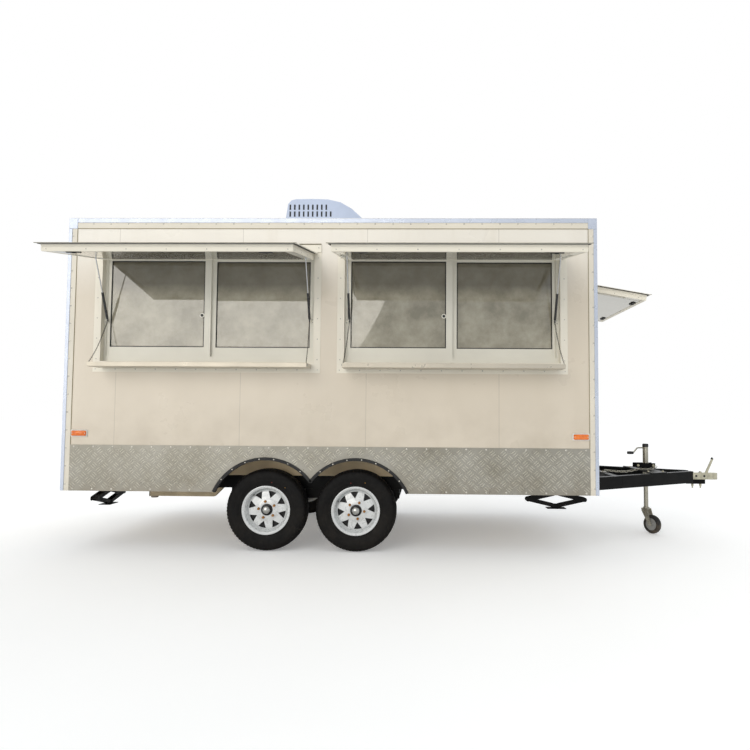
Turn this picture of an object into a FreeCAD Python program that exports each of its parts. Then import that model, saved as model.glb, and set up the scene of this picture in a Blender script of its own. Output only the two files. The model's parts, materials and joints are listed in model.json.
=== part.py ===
"""Food trailer: a tandem-axle catering body on an A-frame chassis.

Every size is given in trailer coordinates: x runs forward from the rear wall, y to the left of the
centre plane and z up from the ground. The finished sub-parts are then shifted together, so that the
origin lies at the centre of the coupler's ball socket.
"""
import FreeCAD, Part
import math
import os
import re
import Sketcher

SIZES = [
    # body shell
    ("body_length", 4000, "body, rear wall to front wall"),
    ("body_width", 2000, "body, outside the side walls"),
    ("skirt_bottom", 442, "lower edge of the skirt plates"),
    ("skirt_top", 785, "upper edge of the skirt plates"),
    ("roof_top", 2507, "upper face of the roof"),
    ("wall_thick", 50, "sandwich panel"),
    ("skin_thick", 3, "skirt plates, trims and liners"),
    ("post_wide", 60, "leg of a corner post"),
    ("rail_high", 76, "roof rail"),
    # chassis
    ("rail_top", 546, "upper face of the chassis rails"),
    ("rail_deep", 100, "chassis rail section, height"),
    ("rail_wide", 50, "chassis rail section, width"),
    ("rail_y", 720, "centre plane to a chassis rail's centre"),
    ("sill_high", 60, "perimeter sill"),
    ("floor_thick", 40, "floor panel"),
    ("drawbar_end", 5085, "front end of the A-frame rails"),
    ("drawbar_end_y", 48, "A-frame rail's centre at its front end"),
    ("draw_bar_x", 4270, "cross bar of the A-frame"),
    ("nose_thick", 38, "block under the coupler"),
    # running gear
    ("rear_axle_x", 1536, "rear axle"),
    ("axle_spacing", 672, "rear axle to front axle"),
    ("tyre_radius", 305, "tyre"),
    ("tyre_wide", 175, "tyre"),
    ("tyre_inset", 30, "tyre's outer face inside the wall's face"),
    ("rim_radius", 165, "bead seat"),
    ("flange_radius", 180, "rim flange"),
    ("disc_thick", 6, "wheel disc"),
    ("disc_out", 34, "wheel disc's inner face out from the wheel's middle"),
    ("window_ring", 138, "outer edge of the disc's windows"),
    ("window_half", 17, "half the width of a disc window"),
    ("hub_radius", 38, "hub barrel"),
    ("hub_in", 60, "hub's inner end from the wheel's middle"),
    ("hub_out", 84, "hub cap's end from the wheel's middle"),
    ("spindle_radius", 20, "axle spindle"),
    ("fit", 0.05, "radial clearance of a pin or spindle in its bore"),
    ("arch_radius", 420, "wheel arch cut in skirt and wall"),
    ("arch_z", 268, "centre of the wheel arch above ground"),
    ("well_top", 722, "top of the wheel boxes"),
    ("well_sheet", 12, "wheel box panel"),
    ("well_margin", 26, "wheel box past the arch, and tyre to wheel box"),
    ("axle_beam", 50, "square axle beam"),
    ("spring_half", 290, "axle to a spring's eye"),
    ("spring_rise", 62, "spring eye above the axle's spring seat"),
    ("eye_radius", 15, "spring eye"),
    ("spring_pin", 7, "spring pin radius"),
    ("hanger_wide", 66, "spring hanger, across"),
    ("hanger_long", 60, "spring hanger, along"),
    ("cheek_thick", 7, "spring hanger's cheek"),
    ("spring_wide", 50, "leaf spring"),
    ("spring_thick", 28, "leaf pack at the axle"),
    # serving openings
    ("rear_window_x", 1072.5, "centre of the rear serving opening"),
    ("fore_window_x", 2918.5, "centre of the forward serving opening"),
    ("window_wide", 1621, "serving opening in the wall"),
    ("window_sill", 1412, "lower edge of a serving opening"),
    ("window_head", 2234, "upper edge of a serving opening"),
    ("nose_wide", 1220, "front opening in the wall"),
    ("nose_sill", 1560, "lower edge of the front opening"),
    ("nose_head", 2094, "upper edge of the front opening"),
    ("trim_wide", 50, "trim beside an opening"),
    ("trim_low", 79, "trim below an opening"),
    ("hinge_rail_high", 62, "hinge rail above an opening"),
    ("hinge_rail_deep", 12, "hinge rail, out from the wall"),
    ("window_recess", 50, "wall face to window frame"),
    ("frame_deep", 60, "window frame"),
    ("frame_side", 18, "window frame, sides and head"),
    ("frame_sill", 42, "window frame, sill"),
    ("sash_side", 24, "sash stile at the frame"),
    ("sash_meet", 49, "sash stile at the middle"),
    ("sash_low", 72, "sash bottom rail"),
    ("sash_top", 20, "sash top rail"),
    ("sash_deep", 22, "sash"),
    ("glass_thick", 5, "window pane"),
    # flaps
    ("hinge_out", 10, "flap hinge axis out from the wall"),
    ("hinge_up", 4, "flap hinge axis above the opening"),
    ("knuckle", 5, "piano hinge radius"),
    ("hinge_pin", 2, "piano hinge pin radius"),
    ("flap_open", 80, "flap angle from closed, as modelled"),
    ("flap_thick", 46, "flap panel behind its skin"),
    ("flap_gap", 10, "flap panel inside the wall opening, each side"),
    ("flap_lip", 30, "flap skin past the panel"),
    ("flap_reach", 805, "serving flap, axis to the panel's end"),
    ("nose_reach", 510, "front flap, axis to the panel's end"),
    ("seal_gap", 5, "closed flap's skin to the trim"),
    # gas struts
    ("strut_inset", 38, "strut's plane inside the wall opening"),
    ("strut_low", 508, "strut's lower pin below the hinge axis"),
    ("strut_low_in", 38, "strut's lower pin inward of the hinge axis"),
    ("strut_up", 185, "strut's upper pin from the hinge axis along the flap"),
    ("strut_up_in", 34, "strut's upper pin under the flap's skin plane"),
    ("tube_radius", 9, "strut tube"),
    ("tube_long", 215, "strut tube from its pin"),
    ("rod_radius", 4, "strut rod"),
    ("rod_hidden", 25, "strut rod inside its tube when open"),
    ("nose_strut_low", 330, "front flap's strut, lower pin below the hinge axis"),
    ("nose_strut_up", 120, "front flap's strut, upper pin along the flap"),
    ("nose_tube_long", 150, "front flap's strut tube from its pin"),
    # serving shelves
    ("shelf_wide", 1590, "serving shelf"),
    ("shelf_deep", 200, "serving shelf, axis to edge"),
    ("shelf_thick", 30, "serving shelf"),
    ("shelf_axis_down", 20, "shelf hinge axis below the opening's sill"),
    ("shelf_axis_out", 17, "shelf hinge axis out from the wall"),
    # entry door
    ("door_wide", 760, "entry door opening"),
    ("door_sill", 590, "lower edge of the entry door opening"),
    ("door_head", 2390, "upper edge of the entry door opening"),
    ("door_gap", 6, "gap round the entry door"),
    ("door_thick", 45, "entry door"),
    ("door_axis_out", 14, "door hinge axis out from the rear wall"),
    ("door_knuckle", 8, "door hinge radius"),
    ("door_pin", 4, "door hinge pin radius"),
    ("door_knuckle_long", 45, "one knuckle of a door hinge"),
    # coupler and jockey wheel
    ("coupler_x", 5290, "centre of the ball socket"),
    ("coupler_z", 490, "centre of the ball socket above ground"),
    ("ball_radius", 25, "tow ball of 50 mm"),
    ("coupler_wide", 74, "coupler body"),
    ("coupler_high", 57, "coupler body"),
    ("coupler_low", 472, "underside of the coupler above ground"),
    ("jockey_x", 4700, "jockey wheel's tube"),
    ("jockey_top", 782, "top of the jockey wheel's tube"),
    ("outer_tube", 24, "outer tube radius"),
    ("outer_low", 405, "lower end of the outer tube above ground"),
    ("inner_tube", 19, "inner tube radius"),
    ("inner_low", 215, "lower end of the inner tube above ground"),
    ("inner_long", 370, "inner tube"),
    ("king_pin", 8, "castor's king pin radius"),
    ("castor_pin", 6, "castor's axle radius"),
    ("castor_radius", 80, "jockey wheel"),
    ("castor_wide", 46, "jockey wheel"),
    ("castor_trail", 60, "jockey wheel's axle behind its stem"),
    ("castor_turn", -55, "castor's heading as parked"),
    # corner jacks
    ("jack_front_x", 3745, "front corner jacks"),
    ("jack_rear_x", 230, "rear corner jacks"),
    ("arm_long", 200, "jack arm, pin to pin"),
    ("arm_high", 34, "jack arm section"),
    ("arm_half", 26, "jack arm, half its width"),
    ("arm_sheet", 3, "jack arm sheet"),
    ("jack_angle", 13, "jack arm above level, as parked"),
    ("jack_pin", 6, "jack pin radius"),
    ("jack_spread", 24, "half the distance between a jack's pair of pins"),
    ("jack_drop", 24, "upper pins below the chassis rail"),
    ("foot_long", 145, "jack foot"),
    ("foot_wide", 90, "jack foot"),
    # roof unit
    ("unit_x", 1500, "rear face of the roof unit"),
    ("unit_long", 790, "roof unit"),
    ("unit_wide", 700, "roof unit"),
    ("unit_high", 385, "roof unit above the roof"),
    # lamps and drain
    ("lamp_long", 120, "side marker lamp"),
    ("lamp_high", 45, "side marker lamp"),
    ("lamp_deep", 20, "side marker lamp"),
    ("lamp_z", 848, "lower edge of the side marker lamps"),
    ("drain_x", 525, "rear end of the drain duct"),
    ("drain_long", 590, "drain duct"),
    ("drain_wide", 60, "drain duct, across"),
    ("drain_high", 70, "drain duct, height"),
    ("drain_strap", 100, "strap that holds the drain duct, along"),
    ("drain_y", 590, "drain duct's inner face from the centre plane"),
    ("drain_z", 362, "drain duct's underside above ground"),
]

ALIASES = {alias for alias, value, meaning in SIZES}
RIGHT, LEFT = -1, 1
NO_TURN = FreeCAD.Rotation()
ALONG = {
    "x": FreeCAD.Rotation(FreeCAD.Vector(0, 1, 0), 90),
    "y": FreeCAD.Rotation(FreeCAD.Vector(1, 0, 0), -90),
    "z": NO_TURN,
}

doc = FreeCAD.newDocument("food_trailer")
sheet = doc.addObject("Spreadsheet::Sheet", "Size")
for row, (alias, value, meaning) in enumerate(SIZES, start=1):
    sheet.set(f"A{row}", meaning)
    sheet.set(f"B{row}", str(value))
    sheet.setAlias(f"B{row}", alias)
doc.recompute()

sub_parts = []


def size(alias):
    """One driving dimension as a number."""
    return float(sheet.get(alias))


def number(text):
    """The value of a formula, worked out in a spare cell of the sheet."""
    sheet.set("D1", f"={text}")
    sheet.recompute()
    return float(sheet.get("D1"))


def formula(text):
    """A formula in the sheet's words, as the document's own expression."""
    return re.sub(r"[a-z][a-z0-9_]*", lambda word: "Size." + word[0] if word[0] in ALIASES else word[0], str(text))


def place(thing, x, y, z):
    """Bind a thing's position to three formulas."""
    for axis, text in zip("xyz", (x, y, z)):
        thing.setExpression(f"Placement.Base.{axis}", formula(text))
    return thing


def turned(thing, rotation):
    """Give a thing a fixed rotation before its position is bound."""
    thing.Placement = FreeCAD.Placement(FreeCAD.Vector(), rotation)
    return thing


def box(x, y, z, long, wide, high):
    """A box from its low corner and its three sizes."""
    solid = doc.addObject("Part::Box", "Block")
    for name, text in (("Length", long), ("Width", wide), ("Height", high)):
        solid.setExpression(name, formula(text))
    return place(solid, x, y, z)


def rod(x, y, z, radius, long, along="z"):
    """A cylinder from the centre of its first end, running along +x, +y or +z."""
    solid = turned(doc.addObject("Part::Cylinder", "Rod"), ALONG[along])
    solid.setExpression("Radius", formula(radius))
    solid.setExpression("Height", formula(long))
    return place(solid, x, y, z)


def fuse(*solids):
    """The union of several solids."""
    union = doc.addObject("Part::MultiFuse", "Union")
    union.Shapes = list(solids)
    return union


def cut(base, *tools):
    """A base with tools taken out of it."""
    left = doc.addObject("Part::Cut", "Cut")
    left.Base = base
    left.Tool = tools[0] if len(tools) == 1 else fuse(*tools)
    return left


def group(*solids):
    """Several solids that share a node without touching."""
    together = doc.addObject("Part::Compound", "Group")
    together.Links = list(solids)
    return together


def mirrored(solid):
    """A solid's image across the centre plane."""
    image = doc.addObject("Part::Mirroring", "Mirror")
    image.Source = solid
    image.Normal = FreeCAD.Vector(0, 1, 0)
    return image


def both_sides(solid):
    """A solid and its image, as one union."""
    return fuse(solid, mirrored(solid))


def origin_plane(body, role):
    """One of a body's own origin planes."""
    return next(plane for plane in body.Origin.OriginFeatures if plane.Role == role)


def outline(body, role, points):
    """A closed sketch through points whose two coordinates are formulas."""
    sketch = body.newObject("Sketcher::SketchObject", "Outline")
    sketch.AttachmentSupport = [(origin_plane(body, role), "")]
    sketch.MapMode = "FlatFace"
    spots = [FreeCAD.Vector(number(first), number(second), 0) for first, second in points]
    for index, start in enumerate(spots):
        end = spots[(index + 1) % len(spots)]
        sketch.addGeometry(Part.LineSegment(start, end), False)
    for index in range(len(points)):
        after = (index + 1) % len(points)
        sketch.addConstraint(Sketcher.Constraint("Coincident", index, 2, after, 1))
    for index, (first, second) in enumerate(points):
        for kind, text in (("DistanceX", first), ("DistanceY", second)):
            row = sketch.addConstraint(Sketcher.Constraint(kind, -1, 1, index, 1, number(text)))
            sketch.setExpression(f"Constraints[{row}]", formula(text))
    return sketch


def padded(role, points, depth, forward=True):
    """A body padded from an outline on one of its origin planes."""
    body = doc.addObject("PartDesign::Body", "Plate")
    pad = body.newObject("PartDesign::Pad", "Pad")
    pad.Profile = outline(body, role, points)
    pad.setExpression("Length", formula(depth))
    pad.Reversed = not forward
    return body


def revolved(points):
    """A body turned about its y axis from an outline of radius against y."""
    body = doc.addObject("PartDesign::Body", "Turning")
    sketch = outline(body, "XY_Plane", points)
    turning = body.newObject("PartDesign::Revolution", "Revolution")
    turning.Profile = sketch
    turning.ReferenceAxis = (sketch, ["V_Axis"])
    turning.Angle = 360
    return body


def rounded(body, radius, edges):
    """Round the edges of a body's last feature that a test picks."""
    doc.recompute()
    picked = [f"Edge{i}" for i, edge in enumerate(body.Tip.Shape.Edges, start=1) if edges(edge)]
    fillet = body.newObject("PartDesign::Fillet", "Fillet")
    fillet.Base = (body.Tip, picked)
    fillet.setExpression("Radius", formula(radius))
    return body


def sub_part(name, thing):
    """Name a finished sub-part and shift it from trailer coordinates to the coupler's ball."""
    thing.Label = name
    sub_parts.append(thing)
    return place(thing, "-coupler_x", "0", "-coupler_z")


def placed_part(name, thing):
    """Name a finished sub-part that already lies in the coupler's frame."""
    thing.Label = name
    sub_parts.append(thing)
    return thing


def across(side, inner, outer):
    """Low y and width of a stretch between two distances from the centre plane."""
    low = f"{inner}" if side == LEFT else f"-({outer})"
    return low, f"({outer}) - ({inner})"


# ---------------------------------------------------------------- chassis, floor and shell
AXLES = {"rear": "rear_axle_x", "front": "rear_axle_x + axle_spacing"}
SILL_LOW = "rail_top - rail_deep"
WALL_LOW = "rail_top - rail_deep + sill_high"
WALL_HIGH = "roof_top - wall_thick - (rail_top - rail_deep + sill_high)"
INSIDE = "body_width - 2*wall_thick"
DRAW_START = "body_length"
DRAW_SLOPE = f"(rail_y - drawbar_end_y)/(drawbar_end - {DRAW_START})"
DRAW_HALF = f"rail_wide/2*sqrt(1 + ({DRAW_SLOPE})^2)"
WELL_LOW_X = "rear_axle_x - arch_radius - well_margin"
WELL_LONG = "axle_spacing + 2*arch_radius + 2*well_margin"
WELL_Y = "body_width/2 - tyre_inset - tyre_wide - well_margin"
WELL_RISE = "well_top - well_sheet - rail_top"
EYE_Z = "tyre_radius + axle_beam/2 + spring_rise"


def draw_y(x):
    """Centre of an A-frame rail at a place along the trailer."""
    return f"rail_y - {DRAW_SLOPE}*({x} - ({DRAW_START}))"


def arches():
    """Two cylinders across the trailer that cut the wheel arches."""
    return [rod(x, "-body_width", "arch_z", "arch_radius", "2*body_width", "y") for x in AXLES.values()]


def hanger(x, long):
    """A spring hanger under the left chassis rail: a block with two cheeks."""
    block = box(f"{x} - ({long})/2", "rail_y - hanger_wide/2", f"{EYE_Z} + eye_radius + 4",
                long, "hanger_wide", f"rail_top - rail_deep - ({EYE_Z} + eye_radius + 4)")
    cheeks = [
        box(f"{x} - ({long})/2", y, f"{EYE_Z} - eye_radius - 4", long, "cheek_thick", "2*eye_radius + 9")
        for y in ("rail_y - hanger_wide/2", "rail_y + hanger_wide/2 - cheek_thick")
    ]
    return fuse(block, *cheeks)


def spring_pin(x):
    """A pin across a hanger."""
    return rod(x, "rail_y - hanger_wide/2", EYE_Z, "spring_pin", "hanger_wide", "y")


def jack_bracket():
    """A corner jack's bracket under a rail: a plate, two ears and the two upper pins."""
    plate = box("-jack_spread - arm_high/2", "-arm_half - 5", "-4", "2*jack_spread + arm_high",
                "2*arm_half + 10", "4")
    ears = [
        box("-jack_spread - jack_pin - 4", y, "-jack_drop - jack_pin - 4", "2*jack_spread + 2*jack_pin + 8",
            "arm_sheet", "jack_drop + jack_pin + 4")
        for y in ("-arm_half - 5", "arm_half + 5 - arm_sheet")
    ]
    pins = [
        rod(x, "-arm_half - 5", "-jack_drop", "jack_pin", "2*arm_half + 10", "y")
        for x in ("-jack_spread", "jack_spread")
    ]
    return fuse(plate, *ears, *pins)


JACKS = {
    "front_right": ("jack_front_x", "-rail_y", 0),
    "front_left": ("jack_front_x", "rail_y", 0),
    "rear_right": ("jack_rear_x", "-rail_y", 90),
    "rear_left": ("jack_rear_x", "rail_y", 90),
}


def placed_bracket(corner):
    """A jack bracket at its corner, in trailer coordinates."""
    x, y, heading = JACKS[corner]
    bracket = group(jack_bracket())
    turned(bracket, FreeCAD.Rotation(FreeCAD.Vector(0, 0, 1), heading))
    return place(bracket, x, y, SILL_LOW)


def member(x):
    """A cross member in three lengths: between the chassis rails, and from each rail to the sill."""
    inner = box(x, "rail_wide/2 - rail_y", "rail_top - sill_high", "rail_wide", "2*rail_y - rail_wide", "sill_high")
    outer = box(x, "rail_y + rail_wide/2", "rail_top - sill_high", "rail_wide",
                "body_width/2 - wall_thick - rail_y - rail_wide/2", "sill_high")
    return [inner, outer, mirrored(outer)]


def chassis_frame():
    """Rails, sills, cross members, A-frame, spring hangers and jack brackets, welded face to face."""
    rail = box("wall_thick", "rail_y - rail_wide/2", SILL_LOW, "body_length - 2*wall_thick", "rail_wide", "rail_deep")
    sill = cut(box("0", "body_width/2 - wall_thick", SILL_LOW, "body_length", "wall_thick", "sill_high"), *arches())
    draw = place(
        padded(
            "XY_Plane",
            [
                (DRAW_START, f"rail_y + {DRAW_HALF}"),
                (DRAW_START, f"rail_y - {DRAW_HALF}"),
                ("drawbar_end", f"drawbar_end_y - {DRAW_HALF}"),
                ("drawbar_end", f"drawbar_end_y + {DRAW_HALF}"),
            ],
            "rail_deep",
        ),
        "0", "0", SILL_LOW,
    )
    headers = [
        box(x, "wall_thick - body_width/2", SILL_LOW, "wall_thick", INSIDE, "sill_high")
        for x in ("0", "body_length - wall_thick")
    ]
    members = []
    for x in ("700", f"{WELL_LOW_X} - rail_wide", f"{WELL_LOW_X} + {WELL_LONG}", "3100", "3550"):
        members += member(x)
    tie = box("rear_axle_x + axle_spacing/2 - rail_wide/2", "rail_wide/2 - rail_y", "rail_top - sill_high",
              "rail_wide", "2*rail_y - rail_wide", "sill_high")
    bar_half = f"({draw_y('draw_bar_x')})"
    bar = cut(box("draw_bar_x", f"-{bar_half}", "rail_top - sill_high - 10", "rail_wide", f"2*{bar_half}",
                  "sill_high"), draw, mirrored(draw))
    nose = cut(box("drawbar_end - 45", "-coupler_wide/2 - 4", "coupler_low - nose_thick", "165",
                   "coupler_wide + 8", "nose_thick"), draw, mirrored(draw))
    first, last = "rear_axle_x - spring_half", "rear_axle_x + axle_spacing + spring_half"
    middle = ("rear_axle_x + spring_half", "rear_axle_x + axle_spacing - spring_half")
    hangers = [
        fuse(hanger(first, "hanger_long"), spring_pin(first)),
        fuse(hanger("rear_axle_x + axle_spacing/2", "axle_spacing - 2*spring_half + hanger_long"),
             *[spring_pin(x) for x in middle]),
        fuse(hanger(last, "hanger_long"), spring_pin(last)),
    ]
    halves = [rail, sill, draw, *hangers]
    brackets = [placed_bracket(corner) for corner in JACKS]
    return sub_part("chassis_frame", group(*halves, *[mirrored(half) for half in halves], *headers, *members, tie,
                                           bar, nose, *brackets))


def wheel_box(side):
    """A wheel box of four sheets: its top, its inner side and its two ends."""
    low, wide = across(side, f"{WELL_Y} - well_sheet", "body_width/2 - wall_thick")
    top = box(WELL_LOW_X, low, "well_top - well_sheet", WELL_LONG, wide, "well_sheet")
    low, wide = across(side, f"{WELL_Y} - well_sheet", WELL_Y)
    inner = box(WELL_LOW_X, low, "rail_top", WELL_LONG, wide, WELL_RISE)
    low, wide = across(side, WELL_Y, "body_width/2 - wall_thick")
    ends = [
        box(x, low, "rail_top", "well_sheet", wide, WELL_RISE)
        for x in (WELL_LOW_X, f"{WELL_LOW_X} + {WELL_LONG} - well_sheet")
    ]
    return [top, inner, *ends]


def floor_panel():
    """The floor in three lengths, its two wheel boxes and the drain duct that hangs under it."""
    past_well = f"{WELL_LOW_X} + {WELL_LONG}"
    slabs = [
        box("wall_thick", "wall_thick - body_width/2", "rail_top", f"{WELL_LOW_X} - wall_thick", INSIDE, "floor_thick"),
        box(WELL_LOW_X, f"well_sheet - ({WELL_Y})", "rail_top", WELL_LONG, f"2*({WELL_Y} - well_sheet)", "floor_thick"),
        box(past_well, "wall_thick - body_width/2", "rail_top", f"body_length - wall_thick - ({past_well})", INSIDE,
            "floor_thick"),
    ]
    drain = place(
        padded(
            "XZ_Plane",
            [("0", "0"), ("drain_long - drain_high", "0"), ("drain_long", "drain_high"), ("0", "drain_high")],
            "drain_wide",
        ),
        "drain_x", "-drain_y", "drain_z",
    )
    outlet = rod("drain_x + drain_wide/2", "-drain_y - drain_wide/2", "drain_z - 14", "drain_wide/2 - 4", "14")
    strap = box("drain_x + drain_wide", "-drain_y - drain_wide", "drain_z + drain_high", "drain_strap", "drain_wide",
                "rail_top - drain_z - drain_high")
    return sub_part("floor_panel", group(*slabs, *wheel_box(RIGHT), *wheel_box(LEFT), drain, outlet, strap))


def side_wall(side):
    """A side wall over its full length, with both wheel arches."""
    low, wide = across(side, "body_width/2 - wall_thick", "body_width/2")
    return box("0", low, WALL_LOW, "body_length", wide, WALL_HIGH)


def end_wall(x):
    """A wall between the side walls."""
    return box(x, "wall_thick - body_width/2", WALL_LOW, "wall_thick", INSIDE, WALL_HIGH)


def shell():
    """Four walls and the roof."""
    windows = [
        box(f"{x} - window_wide/2", "-body_width/2 - 1", "window_sill", "window_wide", "wall_thick + 2",
            "window_head - window_sill")
        for x in ("rear_window_x", "fore_window_x")
    ]
    sub_part("right_wall", cut(side_wall(RIGHT), *windows, *arches()))
    sub_part("left_wall", cut(side_wall(LEFT), *arches()))
    nose_hole = box("body_length - wall_thick - 1", "-nose_wide/2", "nose_sill", "wall_thick + 2", "nose_wide",
                    "nose_head - nose_sill")
    sub_part("front_wall", cut(end_wall("body_length - wall_thick"), nose_hole))
    door_hole = box("-1", "-door_wide/2", "door_sill", "wall_thick + 2", "door_wide", "door_head - door_sill")
    sub_part("rear_wall", cut(end_wall("0"), door_hole))
    sub_part("roof_panel", group(box("0", "-body_width/2", "roof_top - wall_thick", "body_length", "body_width",
                                     "wall_thick")))


def body_trims():
    """Corner posts and the roof rail that joins them."""
    high = "roof_top - rail_high - skirt_bottom"
    posts = []
    for x, leg_x in (("-skin_thick", "-skin_thick"), ("body_length - post_wide", "body_length")):
        posts.append(box(x, "body_width/2", "skirt_bottom", "post_wide + skin_thick", "skin_thick", high))
        posts.append(box(leg_x, "body_width/2 - post_wide", "skirt_bottom", "skin_thick", "post_wide + skin_thick", high))
    rail = box("-skin_thick", "-body_width/2 - skin_thick", "roof_top - rail_high", "body_length + 2*skin_thick",
               "body_width + 2*skin_thick", "rail_high + skin_thick")
    core = box("0", "-body_width/2", "roof_top - rail_high - 1", "body_length", "body_width", "rail_high + 1")
    top = box("post_wide", "post_wide - body_width/2", "roof_top - 1", "body_length - 2*post_wide",
              "body_width - 2*post_wide", "skin_thick + 2")
    return sub_part("body_trims", fuse(cut(rail, core, top), both_sides(fuse(*posts))))


def skirt_plates():
    """Tread plate round the foot of the body."""
    gap = "1"
    high = "skirt_top - skirt_bottom"
    side = cut(box(f"post_wide + {gap}", "body_width/2", "skirt_bottom", f"body_length - 2*post_wide - 2*{gap}",
                   "skin_thick", high), *arches())
    wide = f"body_width - 2*post_wide - 2*{gap}"
    low = f"post_wide + {gap} - body_width/2"
    front = box("body_length", low, "rail_top + 4", "skin_thick", wide, "skirt_top - rail_top - 4")
    rear = cut(
        box("-skin_thick", low, "skirt_bottom", "skin_thick", wide, high),
        box("-skin_thick - 1", "-door_wide/2 - trim_wide - 1", "door_sill - trim_wide - 1", "skin_thick + 2",
            "door_wide + 2*trim_wide + 2", high),
    )
    return sub_part("skirt_plates", group(side, mirrored(side), front, rear))


# ---------------------------------------------------------------- running gear
def axle(x):
    """An axle with its two leaf springs, left side first."""
    z = "tyre_radius"
    beam = box(f"{x} - axle_beam/2", "-rail_y - 45", f"{z} - axle_beam/2", "axle_beam", "2*rail_y + 90", "axle_beam")
    plate = rod(x, "rail_y + 45", z, "110", "8", "y")
    spindle = rod(x, "rail_y + 45", z, "spindle_radius",
                  "body_width/2 - tyre_inset - tyre_wide/2 + hub_out - 8 - (rail_y + 45)", "y")
    half, seat = "spring_half", f"{z} + axle_beam/2"
    leaf = place(
        padded(
            "XZ_Plane",
            [
                (f"-{half}", "spring_rise - 6"), (f"-{half}/2", "0.3*spring_rise"), ("-axle_beam", "0"),
                ("axle_beam", "0"), (f"{half}/2", "0.3*spring_rise"), (half, "spring_rise - 6"),
                (half, "spring_rise + 6"), (f"{half}/2", "0.3*spring_rise + 0.6*spring_thick"),
                ("axle_beam", "spring_thick"), ("-axle_beam", "spring_thick"),
                (f"-{half}/2", "0.3*spring_rise + 0.6*spring_thick"), (f"-{half}", "spring_rise + 6"),
            ],
            "spring_wide",
        ),
        x, "rail_y + spring_wide/2", seat,
    )
    eyes = [rod(f"{x} + {end}", "rail_y - spring_wide/2", EYE_Z, "eye_radius", "spring_wide", "y")
            for end in (f"-{half}", half)]
    bores = [rod(f"{x} + {end}", "rail_y - spring_wide", EYE_Z, "spring_pin + fit", "2*spring_wide", "y")
             for end in (f"-{half}", half)]
    return fuse(both_sides(cut(fuse(plate, spindle, leaf, *eyes), *bores)), beam)


def tyre(name):
    """A tyre about its own y axis."""
    half, bead = "tyre_wide/2", "rim_radius + 0.3"
    right = [
        (bead, f"{half} - 17"), ("flange_radius + 2", f"{half} - 15"), ("flange_radius + 20", f"{half} - 5"),
        ("(tyre_radius + rim_radius)/2", half), ("tyre_radius - 30", f"{half} - 4"),
        ("tyre_radius - 7", f"{half} - 18"), ("tyre_radius", f"{half} - 43"),
    ]
    left = [(radius, f"-({y})") for radius, y in reversed(right)]
    return placed_part(name, revolved(right + left))


def rim(name):
    """A steel wheel with its hub about its own y axis, outer side towards +y."""
    half = "tyre_wide/2"
    body = revolved([
        ("spindle_radius + fit", "-hub_in"), ("hub_radius", "-hub_in"), ("hub_radius", "disc_out"),
        ("rim_radius - 5", "disc_out"), ("rim_radius - 5", f"-({half} - 8)"), ("flange_radius", f"-({half} - 8)"),
        ("flange_radius", f"-({half} - 13)"), ("rim_radius", f"-({half} - 13)"), ("rim_radius", f"{half} - 13"),
        ("flange_radius", f"{half} - 13"), ("flange_radius", f"{half} - 8"), ("rim_radius - 5", f"{half} - 8"),
        ("rim_radius - 5", "disc_out + disc_thick"), ("hub_radius", "disc_out + disc_thick"),
        ("hub_radius", "hub_out"), ("0", "hub_out"), ("0", "hub_out - 7"), ("spindle_radius + fit", "hub_out - 7"),
    ])
    window = body.newObject("PartDesign::Pocket", "Window")
    window.Profile = outline(body, "XZ_Plane", [
        ("-window_half", "window_ring"), ("window_half", "window_ring"), ("0", "window_ring - 2*window_half"),
    ])
    window.Type = "ThroughAll"
    window.Midplane = True
    ring = body.newObject("PartDesign::PolarPattern", "Windows")
    ring.Originals = [window]
    ring.Axis = (origin_axis(body, "Y_Axis"), [""])
    ring.Angle = 360
    ring.Occurrences = 8
    body.Tip = ring
    return placed_part(name, body)


def origin_axis(body, role):
    """One of a body's own origin axes."""
    return next(axis for axis in body.Origin.OriginFeatures if axis.Role == role)


def wheels():
    """Four wheels, each a tyre on its rim."""
    for row, x in AXLES.items():
        for hand, side in (("right", RIGHT), ("left", LEFT)):
            heading = 180 if side == RIGHT else 0
            for piece in (tyre(f"{row}_{hand}_tyre"), rim(f"{row}_{hand}_rim")):
                turned(piece, FreeCAD.Rotation(FreeCAD.Vector(0, 0, 1), heading))
                y = "body_width/2 - tyre_inset - tyre_wide/2"
                place(piece, f"{x} - coupler_x", y if side == LEFT else f"-({y})", "tyre_radius - coupler_z")


# ---------------------------------------------------------------- serving openings
# An opening's own frame: x along the wall from the opening's centre, y inward from the wall's outer
# face, z up from the ground.
OPENINGS = {
    "rear": {"wide": "window_wide", "sill": "window_sill", "head": "window_head", "reach": "flap_reach",
             "low": "strut_low", "up": "strut_up", "tube": "tube_long",
             "at": ("rear_window_x - coupler_x", "-body_width/2"), "heading": 0},
    "forward": {"wide": "window_wide", "sill": "window_sill", "head": "window_head", "reach": "flap_reach",
                "low": "strut_low", "up": "strut_up", "tube": "tube_long",
                "at": ("fore_window_x - coupler_x", "-body_width/2"), "heading": 0},
    "nose": {"wide": "nose_wide", "sill": "nose_sill", "head": "nose_head", "reach": "nose_reach",
             "low": "nose_strut_low", "up": "nose_strut_up", "tube": "nose_tube_long",
             "at": ("body_length - coupler_x", "0"), "heading": 90},
}
KNUCKLES = 17


def heading(hole):
    """Rotation of an opening's frame about the vertical."""
    return FreeCAD.Rotation(FreeCAD.Vector(0, 0, 1), hole["heading"])


def on_wall(thing, hole, along="0", inward="0", up="0", turn=NO_TURN):
    """Put a thing, modelled in its own frame, at a place in an opening's frame."""
    turned(thing, heading(hole).multiply(turn))
    x, y = hole["at"]
    if hole["heading"] == 0:
        return place(thing, f"{x} + {along}", f"{y} + {inward}", f"{up} - coupler_z")
    return place(thing, f"{x} - ({inward})", f"{y} + {along}", f"{up} - coupler_z")


def centred_box(half, y, z, wide_y, high, middle="0"):
    """A box that is symmetrical along the wall."""
    return box(f"{middle} - ({half})", y, z, f"2*({half})", wide_y, high)


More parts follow.
